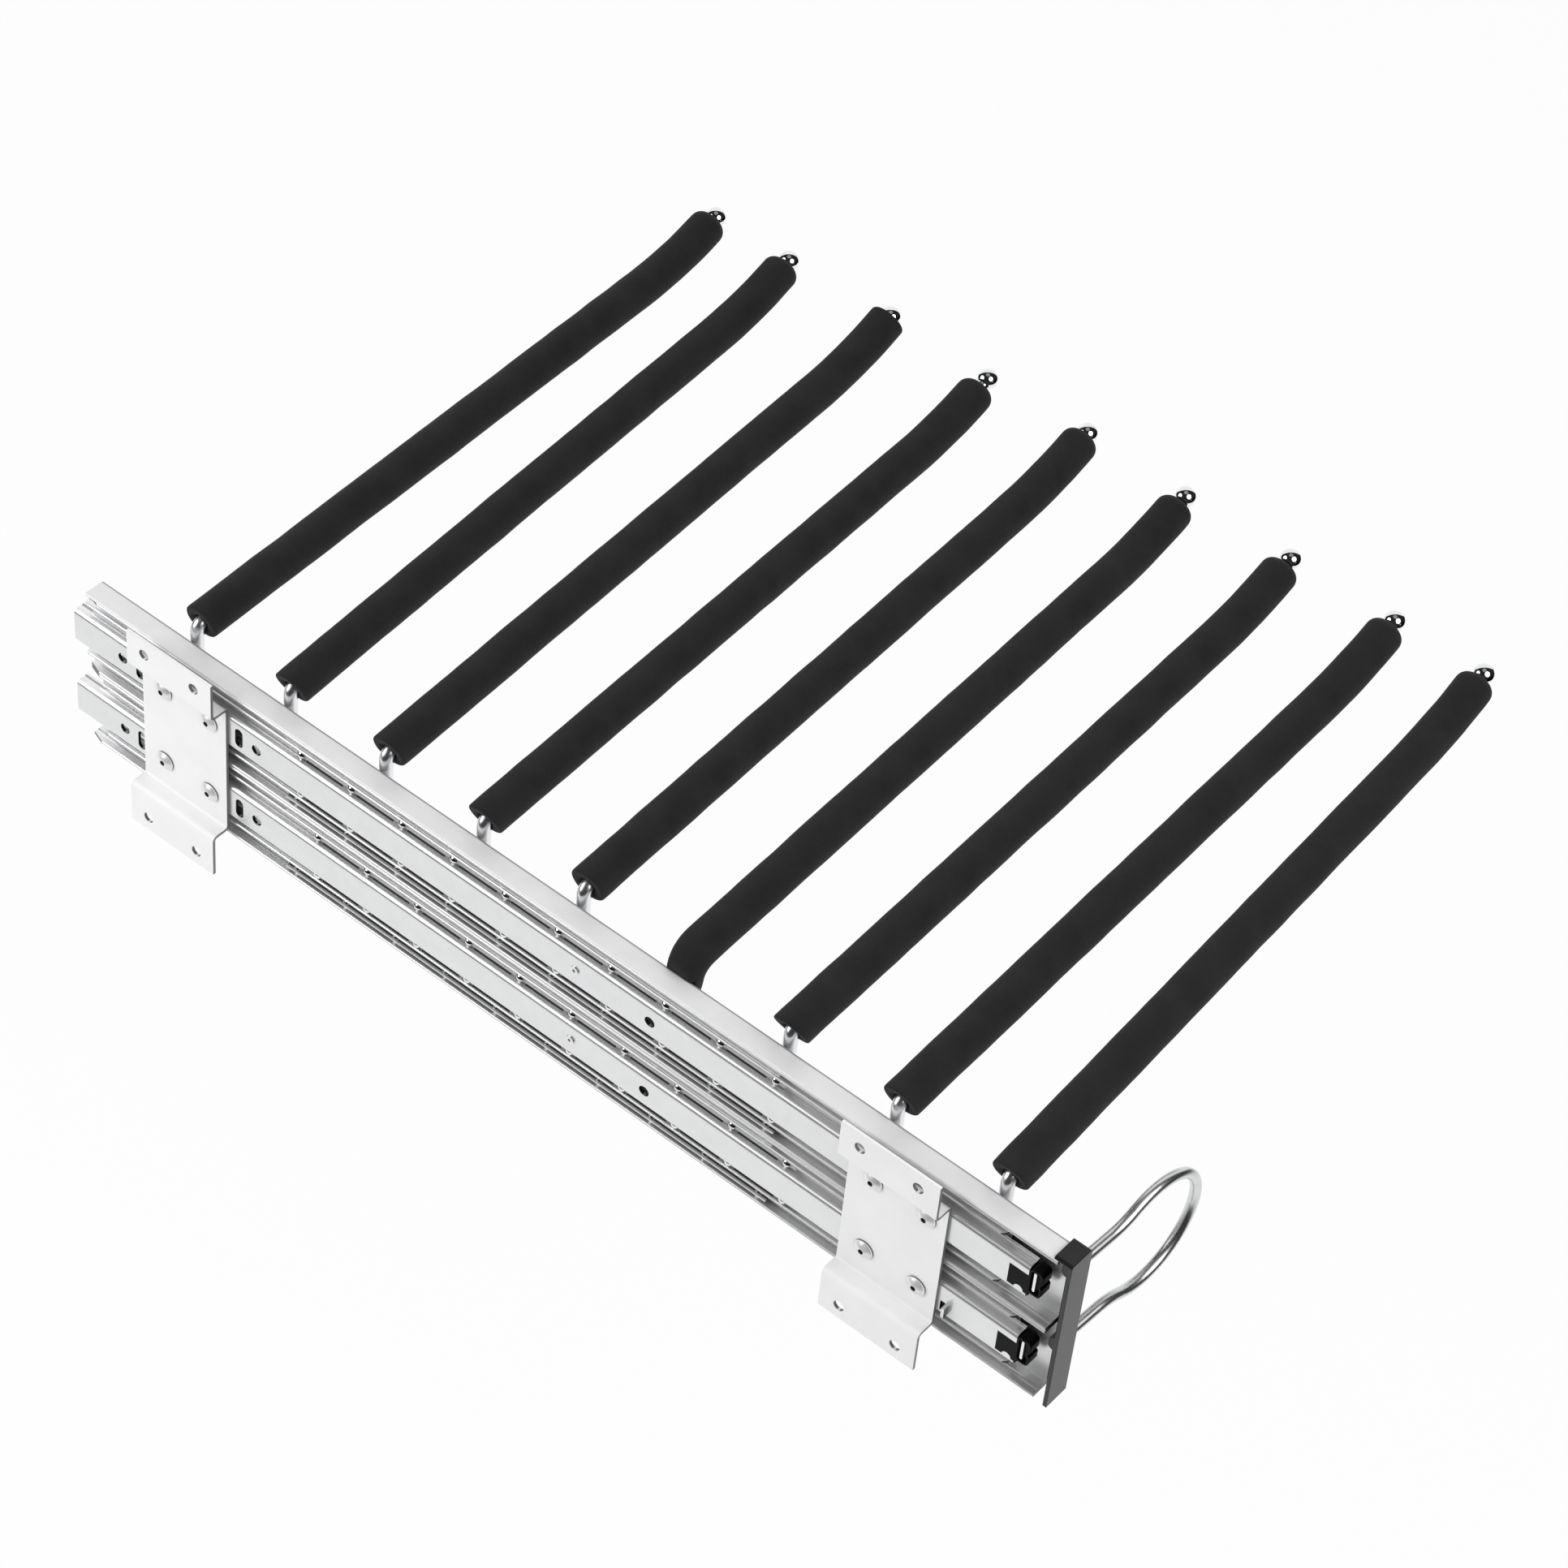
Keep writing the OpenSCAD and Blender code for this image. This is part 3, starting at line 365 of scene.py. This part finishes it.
def makeWorld():
    world = bpy.context.scene.world or bpy.data.worlds.new("studio")
    bpy.context.scene.world = world
    world.use_nodes = True
    tree = world.node_tree
    tree.nodes.clear()
    soft = worldLight(tree, studio["skyLevel"])
    white = worldLight(tree, 1)
    mirrored = worldLight(tree, 1)
    direction = coordinates(tree, "Generated")
    overhead = vectorMath(tree, "DOT_PRODUCT", direction, (0, 0, 1), "Value")
    above = mapRange(tree, overhead, *studio["ceilingEdge"], studio["room"], studio["ceiling"])
    tree.links.new(plainMath(tree, "MAXIMUM", above, paperShare(tree, direction)),
                   mirrored.inputs["Strength"])
    output = tree.nodes.new("ShaderNodeOutputWorld")
    unseen = choose(tree, seenInMetal(tree), soft.outputs[0], mirrored.outputs[0])
    tree.links.new(choose(tree, seenDirectly(tree), unseen, white.outputs[0]),
                   output.inputs["Surface"])


def makeFloor():
    deselectAll()
    bpy.ops.mesh.primitive_plane_add(size=studio["floorSize"],
                                     location=(0, 0, studio["floorHeight"]))
    floor = bpy.context.active_object
    floor.name = "floor"
    applyPlace(floor)
    paper = bpy.data.materials.new("paleFloor")
    paper.use_nodes = True
    tree = paper.node_tree
    tree.nodes.clear()
    matte = tree.nodes.new("ShaderNodeBsdfDiffuse")
    matte.inputs["Color"].default_value = (*[studio["floorColour"]] * 3, 1)
    bright = tree.nodes.new("ShaderNodeEmission")
    bright.inputs["Strength"].default_value = 1

    # where it is mirrored, the white ends at the table's edge and goes on in the paper
    place = coordinates(tree, "Object")
    away = vectorMath(tree, "SUBTRACT", place, studio["tableMiddle"])
    flat = vectorMath(tree, "MULTIPLY", away, (1, 1, 0))
    table = softStep(tree, vectorMath(tree, "LENGTH", flat, output="Value"),
                     studio["tableRadius"], False)
    outward = vectorMath(tree, "NORMALIZE",
                         vectorMath(tree, "SUBTRACT", place, studio["middle"]))
    mirrored = tree.nodes.new("ShaderNodeEmission")
    tree.links.new(plainMath(tree, "MAXIMUM", table, paperShare(tree, outward)),
                   mirrored.inputs["Strength"])

    glow = plainMath(tree, "MULTIPLY", seenDirectly(tree), studio["floorGlow"])
    seen = choose(tree, glow, matte.outputs[0], bright.outputs[0])
    output = tree.nodes.new("ShaderNodeOutputMaterial")
    tree.links.new(choose(tree, seenInMetal(tree), seen, mirrored.outputs[0]),
                   output.inputs["Surface"])
    paper.cycles.emission_sampling = "NONE"     # it shows white, but lights nothing
    floor.data.materials.append(paper)


def makeLamps():
    for number, direction in enumerate(studio["lampDirections"]):
        lamp = bpy.data.lights.new("softLamp" + str(number + 1), "AREA")
        lamp.shape = "DISK"
        lamp.size = studio["lampSize"]
        lamp.energy = studio["lampWatts"]
        holder = bpy.data.objects.new(lamp.name, lamp)
        bpy.context.collection.objects.link(holder)
        towards = Vector(direction).normalized()
        holder.location = Vector(studio["middle"]) + studio["lampDistance"] * towards
        holder.rotation_euler = (-towards).to_track_quat("-Z", "Y").to_euler()
        holder.visible_camera = False


makeCamera()
makeWorld()
makeFloor()
makeLamps()
bpy.context.scene.view_settings.view_transform = "Standard"
print("studio ready")


# the brackets' paint

brackets = {
    "tones": (0.85, 0.89),
    "toneScale": 60,
    "roughness": (0.36, 0.5),
    "sheenScale": 350,
    "grainScale": 900,
    "grainDepth": 0.02 * mm,
    "edgeRadius": 0.35 * mm,
    "cutAndHoleShadeTone": (0.16, 0.16, 0.165),
}


def bracketPaint():
    paint = newMaterial("bracketPaint")
    tone = objectNoise(paint, brackets["toneScale"])
    sheen = objectNoise(paint, brackets["sheenScale"])
    wire(paint, mottled(paint, tone, brackets["tones"]), "Base Color")
    wire(paint, mottled(paint, sheen, brackets["roughness"]), "Roughness")
    softenEdges(paint, brackets["edgeRadius"])
    roughen(paint, objectNoise(paint, brackets["grainScale"], 2), brackets["grainDepth"])
    darkenCuts(paint, brackets["cutAndHoleShadeTone"])
    return paint


dress(bracketPaint(), "rear_mounting_bracket", "front_mounting_bracket")


# the rolled sheet of the rails and of the carriage

rails = {
    "metallic": 0.82,
    "tones": ((0.745, 0.75, 0.755), (0.785, 0.79, 0.795)),
    "toneScale": 140,
    "roughness": (0.28, 0.33),
    "streakScale": 700,
    # the bends get a painted highlight, and show by how far they turn from Y
    "paintedBendLight": (0.93, 0.93, 0.935),
    "paintedBendStops": [(0.85, 1), (0.97, 0)],
    "bendsBothWays": True,
    "cutAndHoleShadeTone": (0.06, 0.06, 0.06),
}

carriage = {
    "metallic": 0.2,
    "tones": ((0.80, 0.80, 0.805), (0.84, 0.84, 0.845)),
    "toneScale": 120,
    "roughness": (0.42, 0.54),
    "streakScale": 900,
    # the bend gets painted shade, and the plate behind it is plain again
    "paintedBendLight": (0.36, 0.36, 0.365),
    "paintedBendStops": [(0.15, 0), (0.25, 1), (0.93, 1), (0.98, 0)],
    "bendsBothWays": False,
    "cutAndHoleShadeTone": (0.25, 0.25, 0.25),
}

streakStretch = (0.02, 1, 1)    # long along the rails


def rolledSteel(name, sheet):
    rolled = newMaterial(name, Metallic=sheet["metallic"])
    tone = objectNoise(rolled, sheet["toneScale"], 5)
    streaks = objectNoise(rolled, sheet["streakScale"], 3, streakStretch)
    wire(rolled, mottled(rolled, tone, sheet["tones"]), "Base Color")
    wire(rolled, mottled(rolled, streaks, sheet["roughness"]), "Roughness")
    # a painted highlight on the rails' bends and painted shade on the carriage's bend
    paintedLightBends = facing(rolled, (0, 1, 0), sheet["bendsBothWays"])
    tintWhere(rolled, ramp(rolled, paintedLightBends, sheet["paintedBendStops"]), sheet["paintedBendLight"])
    darkenCuts(rolled, sheet["cutAndHoleShadeTone"])
    return rolled


dress(rolledSteel("railZinc", rails), "upper_fixed_rail", "lower_fixed_rail",
      "upper_middle_rail", "lower_middle_rail", "upper_outer_rail", "lower_outer_rail")
dress(rolledSteel("satinSteel", carriage), "carriage_profile")


# the small steel pieces

smallSteel = {
    "rivetSteel": {"tones": ((0.80, 0.80, 0.81), (0.86, 0.86, 0.87)),
                   "roughness": (0.34, 0.44), "spotScale": 700, "metallic": 0.5},
    "stopSteel": {"tones": ((0.78, 0.78, 0.79), (0.84, 0.84, 0.85)),
                  "roughness": (0.28, 0.36), "spotScale": 700, "metallic": 1},
    # the inner and outer cages are painted pale and nearly matte: a painted reflection of the
    # light that bright steel catches in the rails' gaps
    "innerCageSteel": {"tones": ((0.88, 0.88, 0.885), (0.93, 0.93, 0.935)),
                       "roughness": (0.35, 0.45), "spotScale": 500, "metallic": 0.2},
    "outerCageSteel": {"tones": ((0.88, 0.88, 0.885), (0.93, 0.93, 0.935)),
                       "roughness": (0.35, 0.45), "spotScale": 500, "metallic": 0.2},
    "unshadedCageSteel": {"tones": ((0.78, 0.78, 0.785), (0.84, 0.84, 0.845)),
                       "roughness": (0.3, 0.4), "spotScale": 500, "metallic": 0.3},
    "ballSteel": {"tones": ((0.78, 0.78, 0.8), (0.84, 0.84, 0.85)),
                  "roughness": (0.08, 0.16), "spotScale": 900, "metallic": 1},
    "springSteel": {"tones": ((0.82, 0.82, 0.83), (0.88, 0.88, 0.89)),
                    "roughness": (0.28, 0.34), "spotScale": 900, "metallic": 1},
    "weldSteel": {"tones": ((0.35, 0.34, 0.34), (0.55, 0.54, 0.53)),
                  "roughness": (0.35, 0.6), "spotScale": 600, "metallic": 1},
}

steelSkin = {
    "toneScale": 300,
    "spotSpan": (0.35, 0.65),
    "dentScale": 120,
    "dentDepth": 0.006 * mm,
    # painted shade in the rivets' holes
    "rivetHoleShade": (0.12, 0.12, 0.12),
    "rivetShadeStops": [(0.2, 1), (0.4, 0)],     # the hole's wall, by how far it turns to Y
    "cageShade": (0.02, 0.02, 0.02),
    # painted shade lies dark on a cage between these two distances from the cabinet side
    "innerCageShade": (10.6 * mm, 10.2 * mm),
    "outerCageShade": (9.6 * mm, 11 * mm),
}


def brightSteel(name, tones, metallic=1.0):
    bright = newMaterial(name, Metallic=metallic)
    tone = objectNoise(bright, steelSkin["toneScale"])
    wire(bright, mottled(bright, tone, tones), "Base Color")
    return bright


def speckle(material, roughness, scale):
    spots = objectNoise(material, scale, 3)
    wire(material, mottled(material, spots, roughness, steelSkin["spotSpan"]), "Roughness")


def plainSteel(name):
    finish = smallSteel[name]
    plain = brightSteel(name, finish["tones"], finish["metallic"])
    speckle(plain, finish["roughness"], finish["spotScale"])
    roughen(plain, objectNoise(plain, steelSkin["dentScale"], 2), steelSkin["dentDepth"])
    return plain


def rivetSteel():
    rivets = plainSteel("rivetSteel")
    # painted shade on the walls of the rivets' holes
    holeShade = ramp(rivets, facing(rivets, (0, 1, 0)), steelSkin["rivetShadeStops"])
    tintWhere(rivets, holeShade, steelSkin["rivetHoleShade"])
    return rivets


def cageSteel(name, shadePlaces):
    cage = plainSteel(name)
    # painted shade where the cage lies deep in the rails
    tintWhere(cage, along(cage, "Y", *shadePlaces), steelSkin["cageShade"])
    return cage


dress(rivetSteel(), "rear_bracket_rivets", "front_bracket_rivets")
dress(plainSteel("stopSteel"), "stop_rivets", "back_rivets")
dress(cageSteel("innerCageSteel", steelSkin["innerCageShade"]),
      "upper_inner_cage", "lower_inner_cage")
dress(cageSteel("outerCageSteel", steelSkin["outerCageShade"]),
      "upper_outer_cage_bottom", "lower_outer_cage_bottom")
dress(plainSteel("unshadedCageSteel"), "upper_outer_cage_top", "lower_outer_cage_top")
dress(plainSteel("ballSteel"), "upper_inner_balls", "lower_inner_balls",
      "upper_outer_balls", "lower_outer_balls")
dress(plainSteel("springSteel"), "upper_latch_spring", "lower_latch_spring")
dress(plainSteel("weldSteel"), "weld_beads")


# the bent wire of the rods and the handle

rods = {
    "tones": ((0.80, 0.805, 0.82), (0.85, 0.855, 0.87)),
    # the legs are hazy from the welding below, and the tips keep their shine
    "hazeHeights": (50 * mm, 54 * mm),
    "hazeRoughness": (0.29, 0.06),
}

handle = {
    "tones": ((0.65, 0.655, 0.66), (0.69, 0.695, 0.70)),
    "roughness": (0.28, 0.3),
    "spotScale": 260,
}


def rodChrome():
    chrome = brightSteel("chromeWire", rods["tones"])
    wire(chrome, along(chrome, "Z", *rods["hazeHeights"], *rods["hazeRoughness"]), "Roughness")
    return chrome


def handleChrome():
    chrome = brightSteel("handleChrome", handle["tones"])
    speckle(chrome, handle["roughness"], handle["spotScale"])
    return chrome


dress(rodChrome(), *["arm_rod_" + str(number) for number in range(1, 10)])
dress(handleChrome(), "pull_handle")


# the black plastic of the latches and the cap

plastic = {
    "latchPlastic": {"tones": (0.002, 0.004), "roughness": (0.3, 0.42), "shine": 0.06},
    "capPlastic": {"tones": (0.004, 0.008), "roughness": (0.26, 0.4), "shine": 0.42},
    "toneScale": 180,
    "grainScale": 2600,
    "grainDepth": 0.015 * mm,
    "edgeRadius": 0.45 * mm,
}


def mouldedPlastic(name):
    finish = plastic[name]
    moulded = newMaterial(name, Specular_IOR_Level=finish["shine"])
    tone = objectNoise(moulded, plastic["toneScale"])
    grain = objectNoise(moulded, plastic["grainScale"], 3)
    wire(moulded, mottled(moulded, tone, finish["tones"]), "Base Color")
    wire(moulded, mottled(moulded, grain, finish["roughness"]), "Roughness")
    softenEdges(moulded, plastic["edgeRadius"])
    roughen(moulded, grain, plastic["grainDepth"])
    return moulded


dress(mouldedPlastic("latchPlastic"), "upper_latch_lever", "lower_latch_lever")
dress(mouldedPlastic("capPlastic"), "end_cap")
print("metal and plastic ready")


# foam sleeves

arm = {
    "pitch": 44.8 * mm,
    "first": -6.8 * mm,
    "legY": 21 * mm,
    "footZ": 41.347 * mm,
    "bend": 3.2 * mm,
    "slope": 3.9,
    "straight": 226.3 * mm,
    "extras": [0, 0, 2, 0, 2, 0, 0, 0, 0],
    "tipRadius": 139 * mm,
    "tipAngle": 18.3,
    "yaws": [-0.6, 1.3, 0.8, 0.3, 0.4, 0.2, -0.1, -0.1, 1.4],
    "profileTop": 38.59 * mm,
    "plateBack": 18.5 * mm,
    "clearance": 0.3 * mm,
}

foam = {
    "outerRadius": 7.2 * mm,
    "boreRadius": 2.65 * mm,
    "boreShare": 1.2,       # points within this many bore radii belong to the bore
    "sides": 44,
    "ringStep": 3.2 * mm,
    "tipSegments": 6,
    "footSegments": 3,
    "footRounding": 0.9 * mm,
    "footUnder": 2.8 * mm,      # how far out from the leg the foot's underside begins
    "footLength": 20 * mm,      # length of foam that the slanted foot takes up
    "waveSize": 14 * mm,
    "waveDepth": 0.35 * mm,
    "waveMiddle": 0.62,
    # how far each sleeve's foot lies from its leg, and how far it follows the tip's curve
    "starts": [0.5, -2.4, -0.8, -2.4, 0, 0, -3.8, -1.4, -1.8],
    "sweeps": [17.7, 17.5, 17.7, 16.6, 17.7, 16.9, 16.9, 17.2, 17.3],
    "tipRoundings": [4.2, 4.0, 0.8, 4.1, 4.2, 4.2, 3.9, 4.2, 4.1],
    "seatRadius": 4.05 * mm,    # the hollow that each ball lies in
    "seatSides": 32,
    "legRoom": 0.15 * mm,
    "smoothAngle": 50,
    # the sixth sleeve has slid over its bend and hangs down behind the carriage
    "slidNumber": 6,
    "slidBendRadius": 7.4 * mm,
    "slidDrop": 4 * mm,
    "slidSkin": 17.3 * mm,      # how far back the carriage's edge presses its near side
    "slidPressed": 7.1 * mm,    # height over which the pressing eases out
    "slidLegShare": 1.5,        # the foam this many bore radii round the leg isn't pressed
    "slidTaper": 0.2,           # how much thinner its squeezed foot gets
    "slidTaperCurve": 1.5,
}


def straightTube(number, low, high):
    outer, bore = foam["outerRadius"], foam["boreRadius"]
    deselectAll()
    bpy.ops.mesh.primitive_cylinder_add(vertices=foam["sides"], radius=outer, depth=high - low,
                                        end_fill_type="NGON", location=(0, 0, (low + high) / 2))
    tube = bpy.context.active_object
    tube.name = "padded_sleeve_" + str(number)
    applyPlace(tube)

    # the hole for the rod, right through
    pickFaces(tube, lambda face: abs(face.normal.z) > 0.9)
    bpy.ops.mesh.inset(thickness=outer - bore, use_individual=True)
    bpy.ops.mesh.bridge_edge_loops()
    closeMesh()

    # rounded tip and softly rounded foot
    def rim(height):
        return lambda a, b: (abs(a.z - height) < 0.01 * mm and abs(b.z - height) < 0.01 * mm
                             and min(a.xy.length, b.xy.length) > 0.9 * outer)
    pickEdges(tube, rim(high))
    bpy.ops.mesh.bevel(offset=foam["tipRoundings"][number - 1] * mm,
                       segments=foam["tipSegments"], affect="EDGES")
    closeMesh()
    pickEdges(tube, rim(low))
    bpy.ops.mesh.bevel(offset=foam["footRounding"], segments=foam["footSegments"],
                       affect="EDGES")
    closeMesh()

    # rings along the tube
    pickEdges(tube, lambda a, b: abs(a.z - b.z) > 0.5 * (high - low))
    bpy.ops.mesh.subdivide(number_cuts=int((high - low) / foam["ringStep"]))
    closeMesh()
    turnOutwards(tube)
    return tube


def slantFoot(tube, low, start):
    # the foot hugs the rod's bend from above: its underside begins further out
    outer = foam["outerRadius"]
    slant = foam["footUnder"] - start
    for vertex in tube.data.vertices:
        share = 1 - (vertex.co.z - low) / foam["footLength"]
        if share > 0:
            vertex.co.z += slant * share * (vertex.co.y + outer) / (2 * outer)


def widenElbow(tube, low, length, shift):
    # the bore runs nearer to the inside of the foam's wider bend
    boreSkin = foam["boreShare"] * foam["boreRadius"]
    for vertex in tube.data.vertices:
        share = (vertex.co.z - low) / length
        if vertex.co.xy.length < boreSkin and 0 < share < 1:
            vertex.co.y -= shift * math.sin(math.pi * share)


def taperFoot(tube, low, high):
    # the outer skin only, the bore keeps its width
    boreSkin = foam["boreShare"] * foam["boreRadius"]
    for vertex in tube.data.vertices:
        share = (high - vertex.co.z) / (high - low)
        if share > 0 and vertex.co.xy.length > boreSkin:
            ease = 1 - foam["slidTaper"] * min(1, share) ** foam["slidTaperCurve"]
            vertex.co.x *= ease
            vertex.co.y *= ease


def pressSkin(tube, legX):
    edge = arm["profileTop"] + arm["clearance"]
    leg = Vector((legX, arm["legY"]))
    room = foam["slidLegShare"] * foam["boreRadius"]
    for vertex in tube.data.vertices:
        short = foam["slidSkin"] - vertex.co.y
        if short > 0 and (vertex.co.xy - leg).length > room:
            rise = min(1, max(0, (vertex.co.z - edge) / foam["slidPressed"]))
            vertex.co.y += short * (1 - rise * rise * (3 - 2 * rise))


def unevenSkin(tube):
    skin = tube.modifiers.new("skin", "SUBSURF")
    skin.levels = skin.render_levels = 1
    applyModifier(tube, skin.name)
    waves = tube.modifiers.new("waves", "DISPLACE")
    waves.texture = foamWaves
    waves.texture_coords = "LOCAL"
    waves.strength = foam["waveDepth"]
    waves.mid_level = foam["waveMiddle"]
    applyModifier(tube, waves.name)


def makeRoom(tube, legX, ball):
    # the ball's seat, room for the leg, and for the carriage under the foot
    deselectAll()
    bpy.ops.mesh.primitive_uv_sphere_add(
        segments=foam["seatSides"], ring_count=foam["seatSides"] // 2, location=ball,
        radius=foam["seatRadius"])
    cutAway(tube, bpy.context.active_object)
    depth = 2 * foam["outerRadius"]
    deselectAll()
    bpy.ops.mesh.primitive_cylinder_add(
        vertices=foam["seatSides"], radius=foam["boreRadius"] + foam["legRoom"],
        depth=depth + arm["bend"],
        location=(legX, arm["legY"], arm["footZ"] + (arm["bend"] - depth) / 2))
    cutAway(tube, bpy.context.active_object)
    top = arm["profileTop"] + arm["clearance"]
    back = arm["plateBack"] + arm["clearance"]
    deselectAll()
    bpy.ops.mesh.primitive_cube_add(size=1, location=(legX, back / 2, top - depth),
                                    scale=(2 * depth, back, 2 * depth))
    cutAway(tube, bpy.context.active_object)


def makeSleeve(number):
    yaw = math.radians(arm["yaws"][number - 1])
    slope = math.radians(arm["slope"])
    sweep = math.radians(foam["sweeps"][number - 1])
    straight = arm["straight"] + arm["extras"][number - 1] * mm
    footStart = foam["starts"][number - 1] * mm
    start = footStart - arm["bend"]
    slid = number == foam["slidNumber"]
    if slid:
        # the foam turns down on a wider bend than the rod inside it
        wide = foam["slidBendRadius"]
        corner = math.radians(90) - slope
        bendEnd = (wide - arm["bend"]) * math.tan(corner / 2)
        bendLength = wide * corner
        start = bendEnd - bendLength - foam["slidDrop"] - arm["bend"]
    end = straight + arm["tipRadius"] * sweep
    tube = straightTube(number, start, end)

    if slid:
        shift = (wide - arm["bend"]) * (1 / math.cos(corner / 2) - 1)
        widenElbow(tube, bendEnd - bendLength, bendLength, shift)
        taperFoot(tube, start, bendEnd)
        moveMesh(tube, -bendEnd)
        bendAlongZ(tube, -bendLength, 0, corner)
        moveMesh(tube, bendEnd)
    else:
        slantFoot(tube, start, footStart)
    moveMesh(tube, -straight)
    bendAlongZ(tube, 0, end - straight, -sweep)
    moveMesh(tube, straight)

    # put on its arm
    foot = Matrix.Rotation(yaw, 3, "Z") @ Vector((
        0, arm["bend"] * (1 - math.sin(slope)), arm["footZ"] + arm["bend"] * math.cos(slope)))
    legX = arm["first"] + (number - 1) * arm["pitch"]
    tube.location = foot + Vector((legX, arm["legY"], 0))
    tube.rotation_euler = (slope - math.radians(90), 0, yaw)
    bpy.context.view_layer.update()
    reach = math.radians(arm["tipAngle"])
    ball = tube.matrix_world @ Vector((0, -arm["tipRadius"] * (1 - math.cos(reach)),
                                       straight + arm["tipRadius"] * math.sin(reach)))
    applyPlace(tube)

    unevenSkin(tube)
    if slid:
        pressSkin(tube, legX)
    makeRoom(tube, legX, ball)
    makeActive(tube)
    bpy.ops.object.shade_smooth_by_angle(angle=math.radians(foam["smoothAngle"]))
    return tube


rubber = {
    "tones": ((0.011, 0.011, 0.0115), (0.016, 0.016, 0.0165)),
    "toneScale": 90,
    "roughness": (0.7, 0.92),
    "shine": 0.16,
    "sheen": 0.05,
    "sheenRoughness": 0.6,
    "grainScale": 2300,
    "grainRoughness": 0.65,
    "grainDepth": 0.1 * mm,
    "cellScale": 1600,
    "cellDepth": 0.05 * mm,
}


def blackFoam():
    black = newMaterial("blackFoam", Specular_IOR_Level=rubber["shine"],
                        Sheen_Weight=rubber["sheen"],
                        Sheen_Roughness=rubber["sheenRoughness"])
    grain = objectNoise(black, rubber["grainScale"], roughness=rubber["grainRoughness"])
    patches = objectNoise(black, rubber["toneScale"])
    wire(black, mottled(black, patches, rubber["tones"]), "Base Color")
    wire(black, mottled(black, grain, rubber["roughness"]), "Roughness")
    roughen(black, grain, rubber["grainDepth"])
    roughen(black, cells(black, rubber["cellScale"]), rubber["cellDepth"])
    return black


# foam skins are never quite even
foamWaves = bpy.data.textures.new("foamWaves", "CLOUDS")
foamWaves.noise_scale = foam["waveSize"]
foamWaves.noise_depth = 1
sleeveFoam = blackFoam()
for number in range(1, 10):
    sleeve = makeSleeve(number)
    sleeve.data.materials.clear()
    sleeve.data.materials.append(sleeveFoam)
    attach(sleeve, "carriage")
    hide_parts("foam_sleeve_" + str(number))
print("sleeves ready")
